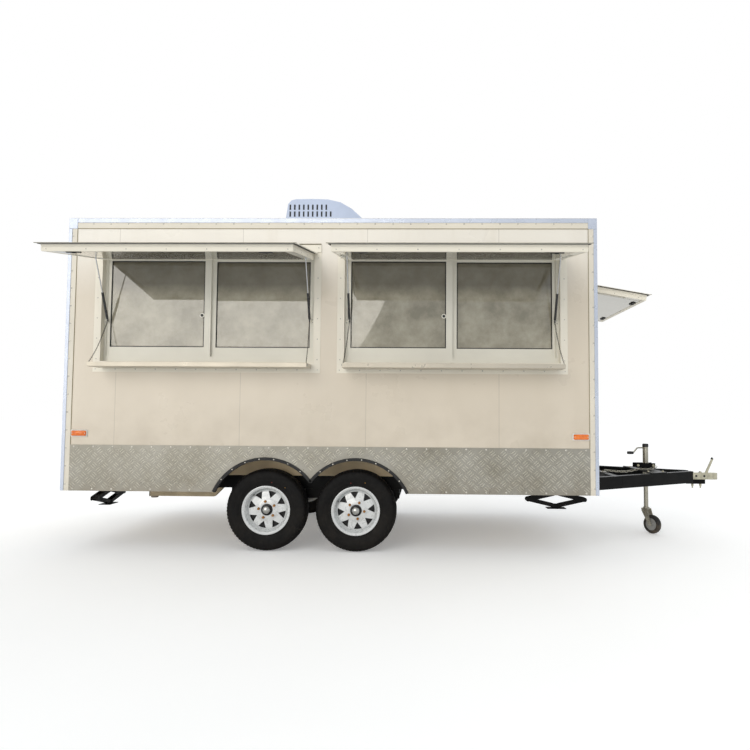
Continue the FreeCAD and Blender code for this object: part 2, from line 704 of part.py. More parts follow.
def knuckle_rows(hole, parity, radius, shorter="1"):
    """Alternate lengths of a piano hinge's barrel about the x axis."""
    half = f"(({hole['wide']})/2 - flap_gap + flap_lip)"
    pitch = f"(2*{half}/{KNUCKLES})"
    return [
        rod(f"-{half} + {index}*{pitch} + {shorter}/2", "0", "0", radius, f"{pitch} - {shorter}", "x")
        for index in range(parity, KNUCKLES, 2)
    ]


def leaf_rows(hole, parity, low, high):
    """The leaves that carry alternate knuckles, between two heights from the axis."""
    half = f"(({hole['wide']})/2 - flap_gap + flap_lip)"
    pitch = f"(2*{half}/{KNUCKLES})"
    return [
        box(f"-{half} + {index}*{pitch} + 0.5", "-2", low, f"{pitch} - 1", "skin_thick", f"{high} - ({low})")
        for index in range(parity, KNUCKLES, 2)
    ]


def trim(hole):
    """Trim, jamb liner, hinge rail and shelf hinge blocks of one opening."""
    wide, sill, head = hole["wide"], hole["sill"], hole["head"]
    half = f"({wide})/2"
    face = centred_box(f"{half} + trim_wide", "-skin_thick", f"{sill} - trim_low", "skin_thick",
                       f"{head} - {sill} + trim_low + 12")
    liner = centred_box(half, "-skin_thick", sill, "skin_thick + window_recess + frame_deep", f"{head} - {sill}")
    clear = centred_box(f"{half} - skin_thick", "-skin_thick - 1", f"{sill} + skin_thick",
                        "window_recess + frame_deep + skin_thick + 2", f"{head} - {sill} - 2*skin_thick")
    rail = centred_box(f"{half} + trim_wide", "-hinge_rail_deep", f"{head} + 12", "hinge_rail_deep", "hinge_rail_high")
    barrel = fuse(*knuckle_rows(hole, 0, "knuckle"), *leaf_rows(hole, 0, "0", "9"),
                  rod(f"-({half} - flap_gap + flap_lip - 1)", "0", "0", "hinge_pin", f"2*({half} - flap_gap + flap_lip - 1)", "x"))
    place(barrel, "0", "-hinge_out", f"{head} + hinge_up")
    pieces = [cut(fuse(face, liner), clear), rail, barrel]
    if hole["heading"] == 0:
        pieces += [
            box(f"{start} + 0.5", "-shelf_axis_out", f"{sill} - shelf_axis_down - knuckle", "99", "shelf_axis_out",
                "2*knuckle")
            for start in SHELF_BLOCKS
        ]
        pieces.append(rod("-shelf_wide/2", "-shelf_axis_out", f"{sill} - shelf_axis_down", "hinge_pin", "shelf_wide",
                          "x"))
    return on_wall(fuse(*pieces), hole)


SHELF_BLOCKS = ("-shelf_wide/2", "-shelf_wide/4 - 50", "-50", "shelf_wide/4 - 50", "shelf_wide/2 - 100")
SHELF_LOW = "window_sill - shelf_axis_down"


def strut_x(hole, hand):
    """A strut's plane in its opening's frame."""
    return f"{hand}*(({hole['wide']})/2 - strut_inset)"


def strut_bracket(hole, hand):
    """The bracket on the window frame that holds a strut's lower pin."""
    low_z = f"{hole['head']} + hinge_up - {hole['low']}"
    pin_y = "strut_low_in - hinge_out"
    edge = f"({hole['wide']})/2"
    base_low, base_long = stretch(hand, f"{edge} - 33", f"{edge} - skin_thick")
    ear_low, ear_long = stretch(hand, f"{edge} - 33", f"{edge} - 29")
    pin_low, pin_long = stretch(hand, f"{edge} - 42", f"{edge} - 32")
    base = box(base_low, "window_recess - 6", f"{low_z} - 15", base_long, "7", "30")
    ear = box(ear_low, f"{pin_y} - 8", f"{low_z} - 8", ear_long, f"window_recess - ({pin_y}) + 8", "16")
    return fuse(base, ear, rod(pin_low, pin_y, low_z, "rod_radius", pin_long, "x"))


def stretch(hand, inner, outer):
    """Low x and length of a stretch between two distances from an opening's centre."""
    low = f"{inner}" if hand > 0 else f"-({outer})"
    return low, f"({outer}) - ({inner})"


def glass_low(hole):
    """Lower edge of an opening's panes."""
    return f"{hole['sill']} + skin_thick + frame_sill + sash_low"


def glass_high(hole):
    """Height of an opening's panes."""
    return f"{hole['head']} - skin_thick - frame_side - sash_top - ({glass_low(hole)})"


SASHES = ((-1, "window_recess + 6"), (1, "window_recess + 32"))


def pane(hole, hand, y, wide_y):
    """The glazed area of one sash, as a box of some depth."""
    low, long = stretch(hand, "sash_meet - 8", f"({hole['wide']})/2 - skin_thick - frame_side - sash_side")
    return box(low, y, glass_low(hole), long, wide_y, glass_high(hole))


def window(hole):
    """Frame with strut brackets, and two sashes in their tracks."""
    half = f"({hole['wide']})/2 - skin_thick"
    low = f"{hole['sill']} + skin_thick"
    high = f"{hole['head']} - {hole['sill']} - 2*skin_thick"
    ring = cut(
        centred_box(half, "window_recess", low, "frame_deep", high),
        centred_box(f"{half} - frame_side", "window_recess - 1", f"{low} + frame_sill", "frame_deep + 2",
                    f"{high} - frame_sill - frame_side"),
    )
    sashes = []
    for hand, y in SASHES:
        start, long = stretch(hand, "-8", f"{half} - frame_side - 0.5")
        sash = box(start, y, f"{low} + frame_sill + 0.5", long, "sash_deep", f"{high} - frame_sill - frame_side - 1")
        sashes.append(cut(sash, pane(hole, hand, f"{y} - 1", "sash_deep + 2")))
    brackets = [strut_bracket(hole, hand) for hand in (-1, 1)]
    return on_wall(group(fuse(ring, *brackets), *sashes), hole)


def glass(hole):
    """The two panes of an opening."""
    panes = [pane(hole, hand, f"{y} + sash_deep/2 - glass_thick/2", "glass_thick") for hand, y in SASHES]
    return on_wall(group(*panes), hole)


def tilt(angle):
    """Rotation about an opening's x axis; a flap opens by a negative angle."""
    return FreeCAD.Rotation(FreeCAD.Vector(1, 0, 0), angle)


def flap(name, hole):
    """A flap about its hinge axis, modelled closed and stored open."""
    half = f"({hole['wide']})/2 - flap_gap"
    reach = hole["reach"]
    back = "hinge_out - skin_thick - seal_gap"
    panel = centred_box(half, back, f"-{reach}", "flap_thick", f"{reach} - 12")
    skin = centred_box(f"{half} + flap_lip", f"{back} - skin_thick", f"-{reach} - flap_lip", "skin_thick",
                       f"{reach} + flap_lip - 7")
    pockets, stubs = [], []
    for hand in (-1, 1):
        low, long = stretch(hand, f"{half} - 46", f"{half} - 12")
        depth = f"{hole['low']} + 22 - {hole['up']}/2"
        pockets.append(box(low, "6", f"-{hole['low']} - 22", long, "flap_thick", depth))
        low, long = stretch(hand, f"({hole['wide']})/2 - strut_inset + 5.5", f"{half} - 11")
        stubs.append(rod(low, "strut_up_in", f"-{hole['up']}", "rod_radius", long, "x"))
    bores = rod(f"-({half} + flap_lip)", "0", "0", "hinge_pin + fit", f"2*({half} + flap_lip)", "x")
    barrel = cut(fuse(*knuckle_rows(hole, 1, "knuckle"), *leaf_rows(hole, 1, "-9", "0")), bores)
    body = fuse(cut(panel, *pockets), skin, *stubs, barrel)
    on_wall(body, hole, "0", "-hinge_out", f"{hole['head']} + hinge_up", tilt(-size("flap_open")))
    return placed_part(name, body)


def strut_pose(hole):
    """A strut's length between pins and its lean from the vertical, with the flap open."""
    turn = math.radians(size("flap_open"))
    up, up_in = size(hole["up"]), size("strut_up_in")
    out = up * math.sin(turn) - up_in * math.cos(turn) + size("strut_low_in")
    rise = size(hole["low"]) - up * math.cos(turn) - up_in * math.sin(turn)
    return math.hypot(out, rise), math.degrees(math.atan2(out, rise))


def struts(name, hole):
    """The two gas struts of a flap: their tubes in one sub-part, their rods in another."""
    long, lean = strut_pose(hole)
    tubes, rods = [], []
    for hand in (-1, 1):
        eye = rod("-4", "0", "0", "10", "8", "x")
        tube = rod("0", "0", "7", "tube_radius", f"{hole['tube']} - 7")
        bores = (rod("-9", "0", "0", "rod_radius + fit", "18", "x"),
                 rod("0", "0", "16", "rod_radius + fit", hole["tube"]))
        slot = [box(x, "-12", "-12", "8", "24", "26") for x in ("-12", "4")]
        tubes.append(on_wall(group(cut(fuse(eye, tube), *bores, *slot)), hole, strut_x(hole, hand),
                             "strut_low_in - hinge_out", f"{hole['head']} + hinge_up - {hole['low']}", tilt(lean)))
        ball = cut(rod("-4.5", "0", "0", "6", "9", "x"), rod("-5", "0", "0", "3", "10", "x"))
        stem = rod("0", "0", f"{hole['tube']} - rod_hidden - {long:.6f}", "rod_radius",
                   f"{long:.6f} - {hole['tube']} + rod_hidden - 4")
        turn = math.radians(lean)
        inward = f"strut_low_in - hinge_out - {long * math.sin(turn):.6f}"
        height = f"{hole['head']} + hinge_up - {hole['low']} + {long * math.cos(turn):.6f}"
        rods.append(on_wall(fuse(ball, stem), hole, strut_x(hole, hand), inward, height, tilt(lean)))
    placed_part(f"{name}_strut_tubes", group(*tubes))
    placed_part(f"{name}_strut_rods", group(*rods))


def shelf(name, hole):
    """A serving shelf about its hinge axis, lying level."""
    panel = centred_box("shelf_wide/2", "-shelf_deep", "-shelf_thick", "shelf_deep - knuckle - 1.5", "shelf_thick")
    low = [f"({left}) + 100.5" for left in SHELF_BLOCKS[:-1]]
    long = [f"({right}) - ({left}) - 101" for left, right in zip(SHELF_BLOCKS, SHELF_BLOCKS[1:])]
    barrels = [rod(start, "0", "0", "knuckle", extent, "x") for start, extent in zip(low, long)]
    leaves = [box(start, "-knuckle - 3", "-knuckle", extent, "knuckle + 3", "knuckle") for start, extent in zip(low, long)]
    bore = rod("-shelf_wide/2 - 1", "0", "0", "hinge_pin + fit", "shelf_wide + 2", "x")
    body = cut(fuse(panel, *barrels, *leaves), bore)
    return placed_part(name, on_wall(body, hole, "0", "-shelf_axis_out", f"{hole['sill']} - shelf_axis_down"))


# ---------------------------------------------------------------- entry door
DOOR_HINGES = ("door_sill + 150", "(door_sill + door_head)/2 - door_knuckle_long", "door_head - 250")
DOOR_AXIS_Y = "door_wide/2 + 3"


def door_frame():
    """Trim round the entry door with the fixed knuckles and their pins."""
    ring = cut(
        box("-skin_thick", "-door_wide/2 - trim_wide", "door_sill - trim_wide", "skin_thick",
            "door_wide + 2*trim_wide", "door_head - door_sill + 2*trim_wide - 10"),
        box("-skin_thick - 1", "-door_wide/2", "door_sill", "skin_thick + 2", "door_wide", "door_head - door_sill"),
    )
    pieces = [ring]
    for z in DOOR_HINGES:
        pieces.append(rod("-door_axis_out", DOOR_AXIS_Y, z, "door_knuckle", "door_knuckle_long"))
        pieces.append(rod("-door_axis_out", DOOR_AXIS_Y, z, "door_pin", "2*door_knuckle_long"))
        pieces.append(box("-door_axis_out + 4", DOOR_AXIS_Y, z, "door_axis_out - 4 - 1", "trim_wide - 10",
                          "door_knuckle_long"))
    return place(fuse(*pieces), "-coupler_x", "0", "-coupler_z")


def entry_door():
    """The entry door about its hinge axis."""
    leaf = box("door_axis_out", f"-({DOOR_AXIS_Y}) - door_wide/2 + door_gap", "door_sill + door_gap", "door_thick",
               "door_wide - 2*door_gap", "door_head - door_sill - 2*door_gap")
    knuckles, bores = [], []
    for z in DOOR_HINGES:
        start = f"{z} + door_knuckle_long + 0.5"
        knuckles.append(rod("0", "0", start, "door_knuckle", "door_knuckle_long"))
        knuckles.append(box("4", "-40", start, "door_axis_out - 3", "36", "door_knuckle_long"))
        bores.append(rod("0", "0", f"{z} + door_knuckle_long", "door_pin + fit", "2*door_knuckle_long"))
    handle = box("door_axis_out - 40", f"-({DOOR_AXIS_Y}) - door_wide/2 + 40", "(door_sill + door_head)/2 - 60", "41",
                 "24", "120")
    body = fuse(cut(fuse(*knuckles), *bores), leaf, handle)
    place(body, "-door_axis_out - coupler_x", DOOR_AXIS_Y, "-coupler_z")
    return placed_part("entry_door", body)


# ---------------------------------------------------------------- coupler and jockey wheel
def coupler():
    """Coupler head: a channel, the socket for the ball and its lever."""
    low = "coupler_low"
    channel = box("drawbar_end", "-coupler_wide/2", low, "coupler_x - drawbar_end", "coupler_wide", "coupler_high")
    hollow = box("drawbar_end - 1", "4 - coupler_wide/2", f"{low} - 1", "coupler_x - drawbar_end - 40",
                 "coupler_wide - 8", "coupler_high - 3")
    head = rod("coupler_x", "0", low, "coupler_wide/2", "coupler_high")
    ball = doc.addObject("Part::Sphere", "Ball")
    ball.setExpression("Radius", formula("ball_radius + 0.5"))
    place(ball, "coupler_x", "0", "coupler_z")
    mouth = rod("coupler_x", "0", f"{low} - 1", "ball_radius + 0.5", f"coupler_z - {low} + 1")
    lever = place(
        padded("XZ_Plane", [("-68", "-2"), ("-48", "-2"), ("8", "124"), ("-8", "124")], "16"),
        "coupler_x", "8", f"{low} + coupler_high",
    )
    bolts = [rod(f"drawbar_end + {x}", "0", f"{low} - nose_thick - 40", "6", "20") for x in (25, 95)]
    bolts += [rod(f"drawbar_end + {x}", "0", f"{low} - nose_thick - 22", "10", "22") for x in (25, 95)]
    body = fuse(cut(fuse(channel, head), hollow, ball, mouth), lever)
    return sub_part("coupler", group(body, *[fuse(shank, nut) for shank, nut in zip(bolts[:2], bolts[2:])]))


def jockey_tube():
    """Outer tube of the jockey wheel with its mounting plate and crank."""
    ends = ("jockey_x - 80", "jockey_x + 80")
    plate = place(
        padded(
            "XY_Plane",
            [
                (ends[0], f"-({draw_y(ends[0])}) - 15"), (ends[1], f"-({draw_y(ends[1])}) - 15"),
                (ends[1], f"{draw_y(ends[1])} + 15"), (ends[0], f"{draw_y(ends[0])} + 15"),
            ],
            "8",
        ),
        "0", "0", "rail_top",
    )
    collar = box("jockey_x - 40", "-40", "rail_top", "80", "80", "54")
    tube = rod("jockey_x", "0", "outer_low", "outer_tube", "jockey_top - outer_low")
    bore = rod("jockey_x", "0", "outer_low - 1", "inner_tube + fit", "jockey_top - outer_low - 9")
    shaft = rod("jockey_x - 105", "0", "jockey_top - 37", "7", "90", "x")
    arm = box("jockey_x - 110", "-8", "jockey_top - 84", "12", "16", "56")
    grip = rod("jockey_x - 160", "0", "jockey_top - 74", "11", "54", "x")
    return sub_part("jockey_tube", cut(fuse(plate, collar, tube, shaft, arm, grip), bore))


def jockey_leg():
    """Inner tube that slides out of the outer one."""
    tube = rod("jockey_x", "0", "inner_low", "inner_tube", "inner_long")
    flange = rod("jockey_x", "0", "inner_low", "outer_tube + 4", "8")
    bore = rod("jockey_x", "0", "inner_low - 1", "king_pin + fit", "31")
    return sub_part("jockey_leg", cut(fuse(tube, flange), bore))


def castor_frame(thing, along="0", up="0"):
    """Put a castor piece at a place along its trail and above the ground."""
    turn = size("castor_turn")
    turned(thing, FreeCAD.Rotation(FreeCAD.Vector(0, 0, 1), turn))
    return place(thing, f"jockey_x - coupler_x + {along}*cos(castor_turn)", f"{along}*sin(castor_turn)",
                 f"{up} - coupler_z")


def jockey_fork():
    """Fork that turns on a king pin under the leg, with the castor's axle."""
    crown = "inner_low - 1"
    plate = box("-30", "-castor_wide/2 - 8", f"{crown} - 8", "60", "castor_wide + 16", "8")
    pin = rod("0", "0", f"{crown} - 4", "king_pin", "30")
    cheeks = []
    for y in ("castor_wide/2 + 8", "-castor_wide/2 - 3"):
        cheek = padded(
            "XZ_Plane",
            [
                ("-26", f"{crown} - 2"), ("-26", f"{crown} - 24"), ("castor_trail - 14", "castor_radius - 12"),
                ("castor_trail + 14", "castor_radius - 12"), ("28", f"{crown} - 2"),
            ],
            "5",
        )
        cheeks.append(place(cheek, "0", y, "0"))
    axle_pin = rod("castor_trail", "-castor_wide/2 - 8", "castor_radius", "castor_pin", "castor_wide + 16", "y")
    return placed_part("jockey_fork", castor_frame(fuse(plate, pin, *cheeks, axle_pin)))


def jockey_wheel():
    """Solid castor wheel."""
    half = "castor_wide/2"
    body = revolved([
        ("castor_pin + fit", f"-{half}"), ("castor_radius/3", f"-{half}"), ("castor_radius/3", f"-{half} + 8"),
        ("castor_radius*0.65", f"-{half} + 8"), ("castor_radius*0.75", f"-{half} + 2"),
        ("castor_radius - 8", f"-{half} + 2"), ("castor_radius", f"-{half} + 12"), ("castor_radius", f"{half} - 12"),
        ("castor_radius - 8", f"{half} - 2"), ("castor_radius*0.75", f"{half} - 2"),
        ("castor_radius*0.65", f"{half} - 8"), ("castor_radius/3", f"{half} - 8"), ("castor_radius/3", half),
        ("castor_pin + fit", half),
    ])
    return placed_part("jockey_wheel", castor_frame(body, "castor_trail", "castor_radius"))


# ---------------------------------------------------------------- corner jacks
def jack_place(thing, corner, along, down, turn):
    """Put a jack piece at a place in its jack's plane, turned about the jack's pins."""
    x, y, angle = JACKS[corner]
    spin = FreeCAD.Rotation(FreeCAD.Vector(0, 0, 1), angle)
    turned(thing, spin.multiply(FreeCAD.Rotation(FreeCAD.Vector(0, 1, 0), turn)))
    height = f"rail_top - rail_deep - ({down}) - coupler_z"
    if angle == 0:
        return place(thing, f"{x} - coupler_x + ({along})", y, height)
    return place(thing, f"{x} - coupler_x", f"{y} + ({along})", height)


def channel_arm(half, high, web_above, trunnion):
    """A pressed arm from a pin at the origin to a second pin, or its own trunnion, along +x."""
    cheeks = []
    for y in (f"-({half})", f"{half} - arm_sheet"):
        cheeks.append(box("0", y, f"-({high})/2", "arm_long", "arm_sheet", high))
        cheeks += [rod(x, y, "0", f"({high})/2", "arm_sheet", "y") for x in ("0", "arm_long")]
    web_z = f"({high})/2 - arm_sheet" if web_above else f"-({high})/2"
    web = box("arm_high", f"-({half})", web_z, "arm_long - 2*arm_high", f"2*({half})", "arm_sheet")
    bored = ("0",) if trunnion else ("0", "arm_long")
    holes = [rod(x, f"-({half}) - 1", "0", "jack_pin + fit", f"2*({half}) + 2", "y") for x in bored]
    arm = cut(fuse(web, *cheeks), *holes)
    if not trunnion:
        return arm
    return fuse(arm, rod("arm_long", f"-({half})", "0", "jack_pin", f"2*({half})", "y"))


ARM_DOWN = "jack_drop + arm_long*sin(jack_angle)"
ARM_OUT = "jack_spread + arm_long*cos(jack_angle)"


def corner_jack(corner):
    """A scissor jack: two upper arms, two lower arms and a foot."""
    angle = size("jack_angle")
    for letter, hand in (("a", 1), ("b", -1)):
        # the upper arm's web is on top when it points along +x at a small downward angle
        upper = group(channel_arm("arm_half", "arm_high", hand > 0, True))
        turn = angle if hand > 0 else 180 - angle
        jack_place(upper, corner, f"{hand}*jack_spread", "jack_drop", turn)
        placed_part(f"{corner}_jack_upper_arm_{letter}", upper)
        lower = group(channel_arm("arm_half - 5", "arm_high - 6", hand > 0, False))
        turn = 180 - angle if hand > 0 else angle
        jack_place(lower, corner, f"{hand}*({ARM_OUT})", ARM_DOWN, turn)
        placed_part(f"{corner}_jack_lower_arm_{letter}", lower)
    plate = box("-foot_long/2", "-foot_wide/2", "-24", "foot_long", "foot_wide", "4")
    ears = [box("-jack_spread - 10", y, "-22", "2*jack_spread + 20", "arm_sheet", "32") for y in ("-16", "13")]
    pins = [rod(x, "-arm_half + 5", "0", "jack_pin", "2*arm_half - 10", "y") for x in ("-jack_spread", "jack_spread")]
    foot = fuse(plate, *ears, *pins)
    jack_place(foot, corner, "0", "jack_drop + 2*arm_long*sin(jack_angle)", 0)
    placed_part(f"{corner}_jack_foot", foot)


# ---------------------------------------------------------------- roof unit and lamps
def roof_unit():
    """Air conditioner on the roof's centre line, with a sloped front."""
    outline_points = [
        (0, 0), (0, 0.95), (0.02, 1), (0.37, 1), (0.56, 0.955), (0.75, 0.8), (0.91, 0.5), (1, 0.14), (1, 0),
    ]
    points = [(f"{x}*unit_long", f"{z}*unit_high") for x, z in outline_points]
    body = padded("XZ_Plane", points, "unit_wide")
    body.Label = "air_conditioner"
    sub_parts.append(body)
    return place(body, "unit_x - coupler_x", "unit_wide/2", "roof_top - coupler_z")


def lamps():
    """Side markers on both side walls and two tail lamps on the rear skirt."""
    left = [
        box(x, "body_width/2", "lamp_z", "lamp_long", "lamp_deep", "lamp_high")
        for x in ("post_wide + 8", "body_length - post_wide - 8 - lamp_long")
    ]
    tail = box("-skin_thick - lamp_deep", "body_width/2 - 190", "skirt_top - 90", "lamp_deep", "lamp_long", "80")
    solids = [*left, tail]
    return sub_part("lamps", group(*solids, *[mirrored(solid) for solid in solids]))


# ---------------------------------------------------------------- assembly
def build():
    """Make every sub-part."""
    chassis_frame()
    floor_panel()
    shell()
    body_trims()
    skirt_plates()
    sub_part("sprung_axles", group(*[axle(x) for x in AXLES.values()]))
    wheels()
    placed_part("opening_trims", group(*[trim(hole) for hole in OPENINGS.values()], door_frame()))
    placed_part("window_frames", group(*[window(hole) for hole in OPENINGS.values()]))
    placed_part("window_glass", group(*[glass(hole) for hole in OPENINGS.values()]))
    for name, hole in OPENINGS.items():
        flap(f"{name}_flap", hole)
        struts(name, hole)
        if hole["heading"] == 0:
            shelf(f"{name}_shelf", hole)
    entry_door()
    coupler()
    jockey_tube()
    jockey_leg()
    jockey_fork()
    jockey_wheel()
    for corner in JACKS:
        corner_jack(corner)
    roof_unit()
    lamps()


def export():
    """Recompute, check every object and write one file for each sub-part."""
    doc.recompute()
    failed = [thing.Name for thing in doc.Objects if {"Invalid", "Error"} & set(thing.State)]
    if failed:
        raise SystemExit(f"objects that did not compute: {failed}")
    os.makedirs("parts", exist_ok=True)
    for thing in sub_parts:
        shape = thing.Shape
        if shape.isNull() or not shape.isValid() or not shape.Solids:
            raise SystemExit(f"{thing.Label} has no valid solid")
        shape.exportStep(f"parts/{thing.Label}.step")
        print(thing.Label, len(shape.Solids), "solids", round(shape.Volume / 1e6, 3), "litres")


build()
export()
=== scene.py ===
"""Looks of a tandem-axle catering trailer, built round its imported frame."""

import json
from math import acos, asin, cos, hypot, pi, radians, sin

import bmesh
import bpy
from mathutils import Matrix, Vector
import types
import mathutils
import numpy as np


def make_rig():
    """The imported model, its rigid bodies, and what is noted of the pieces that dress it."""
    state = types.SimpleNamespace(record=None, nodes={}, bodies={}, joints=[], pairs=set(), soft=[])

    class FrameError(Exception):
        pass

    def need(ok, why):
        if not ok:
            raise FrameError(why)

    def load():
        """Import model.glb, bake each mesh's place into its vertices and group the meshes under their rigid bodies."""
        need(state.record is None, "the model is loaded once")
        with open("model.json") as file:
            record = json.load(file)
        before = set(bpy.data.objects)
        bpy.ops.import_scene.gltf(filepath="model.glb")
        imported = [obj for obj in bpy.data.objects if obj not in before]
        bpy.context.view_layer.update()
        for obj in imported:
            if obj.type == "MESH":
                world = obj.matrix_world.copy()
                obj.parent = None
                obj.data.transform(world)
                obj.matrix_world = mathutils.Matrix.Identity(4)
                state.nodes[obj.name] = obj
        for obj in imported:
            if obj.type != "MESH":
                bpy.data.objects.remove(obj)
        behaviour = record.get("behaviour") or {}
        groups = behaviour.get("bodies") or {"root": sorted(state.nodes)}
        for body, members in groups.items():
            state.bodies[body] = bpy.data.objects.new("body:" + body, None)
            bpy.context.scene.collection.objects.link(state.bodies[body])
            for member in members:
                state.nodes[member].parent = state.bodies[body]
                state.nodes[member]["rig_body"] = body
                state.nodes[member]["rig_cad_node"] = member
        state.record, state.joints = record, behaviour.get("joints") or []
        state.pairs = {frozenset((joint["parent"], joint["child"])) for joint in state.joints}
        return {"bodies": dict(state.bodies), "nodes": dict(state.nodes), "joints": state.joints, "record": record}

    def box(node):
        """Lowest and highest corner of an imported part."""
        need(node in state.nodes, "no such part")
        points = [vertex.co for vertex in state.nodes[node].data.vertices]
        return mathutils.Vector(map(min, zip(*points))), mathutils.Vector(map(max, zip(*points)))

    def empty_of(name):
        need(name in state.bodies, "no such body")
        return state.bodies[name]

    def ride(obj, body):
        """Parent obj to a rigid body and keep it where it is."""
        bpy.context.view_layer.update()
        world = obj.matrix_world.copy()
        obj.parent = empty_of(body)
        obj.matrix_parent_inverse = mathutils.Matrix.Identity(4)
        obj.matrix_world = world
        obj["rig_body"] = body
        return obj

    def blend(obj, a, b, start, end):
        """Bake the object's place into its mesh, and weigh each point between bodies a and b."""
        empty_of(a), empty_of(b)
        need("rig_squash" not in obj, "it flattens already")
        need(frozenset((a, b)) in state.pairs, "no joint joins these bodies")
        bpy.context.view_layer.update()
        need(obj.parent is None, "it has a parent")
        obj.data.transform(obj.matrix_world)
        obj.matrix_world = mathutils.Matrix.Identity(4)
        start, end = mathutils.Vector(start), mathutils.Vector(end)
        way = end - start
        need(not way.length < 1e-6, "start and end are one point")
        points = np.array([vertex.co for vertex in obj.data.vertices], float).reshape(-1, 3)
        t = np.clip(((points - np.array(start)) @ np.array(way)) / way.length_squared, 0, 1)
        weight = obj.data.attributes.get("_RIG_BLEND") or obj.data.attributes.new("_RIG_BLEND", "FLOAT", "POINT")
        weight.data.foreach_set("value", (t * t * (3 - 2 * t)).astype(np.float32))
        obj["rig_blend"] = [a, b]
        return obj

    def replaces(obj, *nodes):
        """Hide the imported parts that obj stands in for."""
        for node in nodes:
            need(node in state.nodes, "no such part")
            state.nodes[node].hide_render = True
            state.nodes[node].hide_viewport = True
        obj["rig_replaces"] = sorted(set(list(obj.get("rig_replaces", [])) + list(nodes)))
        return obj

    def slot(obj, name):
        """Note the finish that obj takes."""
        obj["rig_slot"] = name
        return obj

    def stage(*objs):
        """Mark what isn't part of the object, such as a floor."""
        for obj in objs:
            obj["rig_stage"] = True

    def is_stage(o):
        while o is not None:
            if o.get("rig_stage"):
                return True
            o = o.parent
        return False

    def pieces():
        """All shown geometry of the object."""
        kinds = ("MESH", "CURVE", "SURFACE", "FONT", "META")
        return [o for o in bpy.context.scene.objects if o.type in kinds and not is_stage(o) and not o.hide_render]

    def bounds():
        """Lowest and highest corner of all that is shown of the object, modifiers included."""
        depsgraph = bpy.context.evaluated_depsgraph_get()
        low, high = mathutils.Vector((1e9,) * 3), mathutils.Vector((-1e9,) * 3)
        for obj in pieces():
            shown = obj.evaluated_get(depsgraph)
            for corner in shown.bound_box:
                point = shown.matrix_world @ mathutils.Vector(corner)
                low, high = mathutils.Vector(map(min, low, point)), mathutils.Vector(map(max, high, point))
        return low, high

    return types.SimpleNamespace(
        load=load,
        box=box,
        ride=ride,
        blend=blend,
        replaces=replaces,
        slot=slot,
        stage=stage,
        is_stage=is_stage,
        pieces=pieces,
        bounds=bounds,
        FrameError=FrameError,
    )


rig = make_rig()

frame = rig.load()
cad_low, cad_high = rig.bounds()
NODES = frame["nodes"]

# Lengths are in metres. Trailer coordinates run forward from the rear wall, left from the centre
# plane and up from the ground; the row frame starts at the coupler's ball.
BALL = Vector((5.29, 0, 0.49))
LONG, HALF = 4.0, 1.0
SKIRT_LOW, SKIRT_HIGH = 0.442, 0.785
ROOF = 2.507
POST, SKIN, RAIL = 0.06, 0.003, 0.076
AXLES = {"rear": 1.536, "front": 2.208}
ARCH, ARCH_Z = 0.42, 0.268
TYRE, TYRE_Y = 0.305, 0.8825
JOCKEY_X = 4.7
AMBIENT, FLOOR_LIFT, FLOOR_HALF = 0.7, 0.22, 60.0
SUNS = (
    ("key", 40, 0.9, (1.0, 0.95, 0.87), (0.35, 0.85, -0.28)),
    ("top", 60, 0.3, (1.0, 0.98, 0.95), (0.15, 0.25, -0.95)),
    ("back", 60, 0.45, (1.0, 1.0, 1.0), (-0.3, -0.8, -0.45)),
)
EYE, LENS, SHIFT = (2.662, -5.706, 1.036), 30.32, (-0.038, 0.0055)
PAN, TILT, ROLL = 1.25, 93.1, 0.41


def at(x, y, z):
    """A point in trailer coordinates, in the row frame."""
    return Vector((x, y, z)) - BALL


def placed(name, data):
    """A new object in the scene."""
    made = bpy.data.objects.new(name, data)
    bpy.context.scene.collection.objects.link(made)
    return made


# ---- materials
def linear(c):
    return c / 12.92 if c <= 0.04045 else ((c + 0.055) / 1.055) ** 2.4


def colour(r, g, b):
    """A colour as it looks on screen, 0 to 255, as a linear colour."""
    return tuple(linear(v / 255) for v in (r, g, b)) + (1.0,)


def shifted(base, r, g, b):
    """A screen colour moved by some red, green and blue."""
    return colour(base[0] + r, base[1] + g, base[2] + b)


def dimmed(base, share):
    """A screen colour with a share of its light."""
    return tuple(c * share for c in colour(*base)[:3]) + (1.0,)


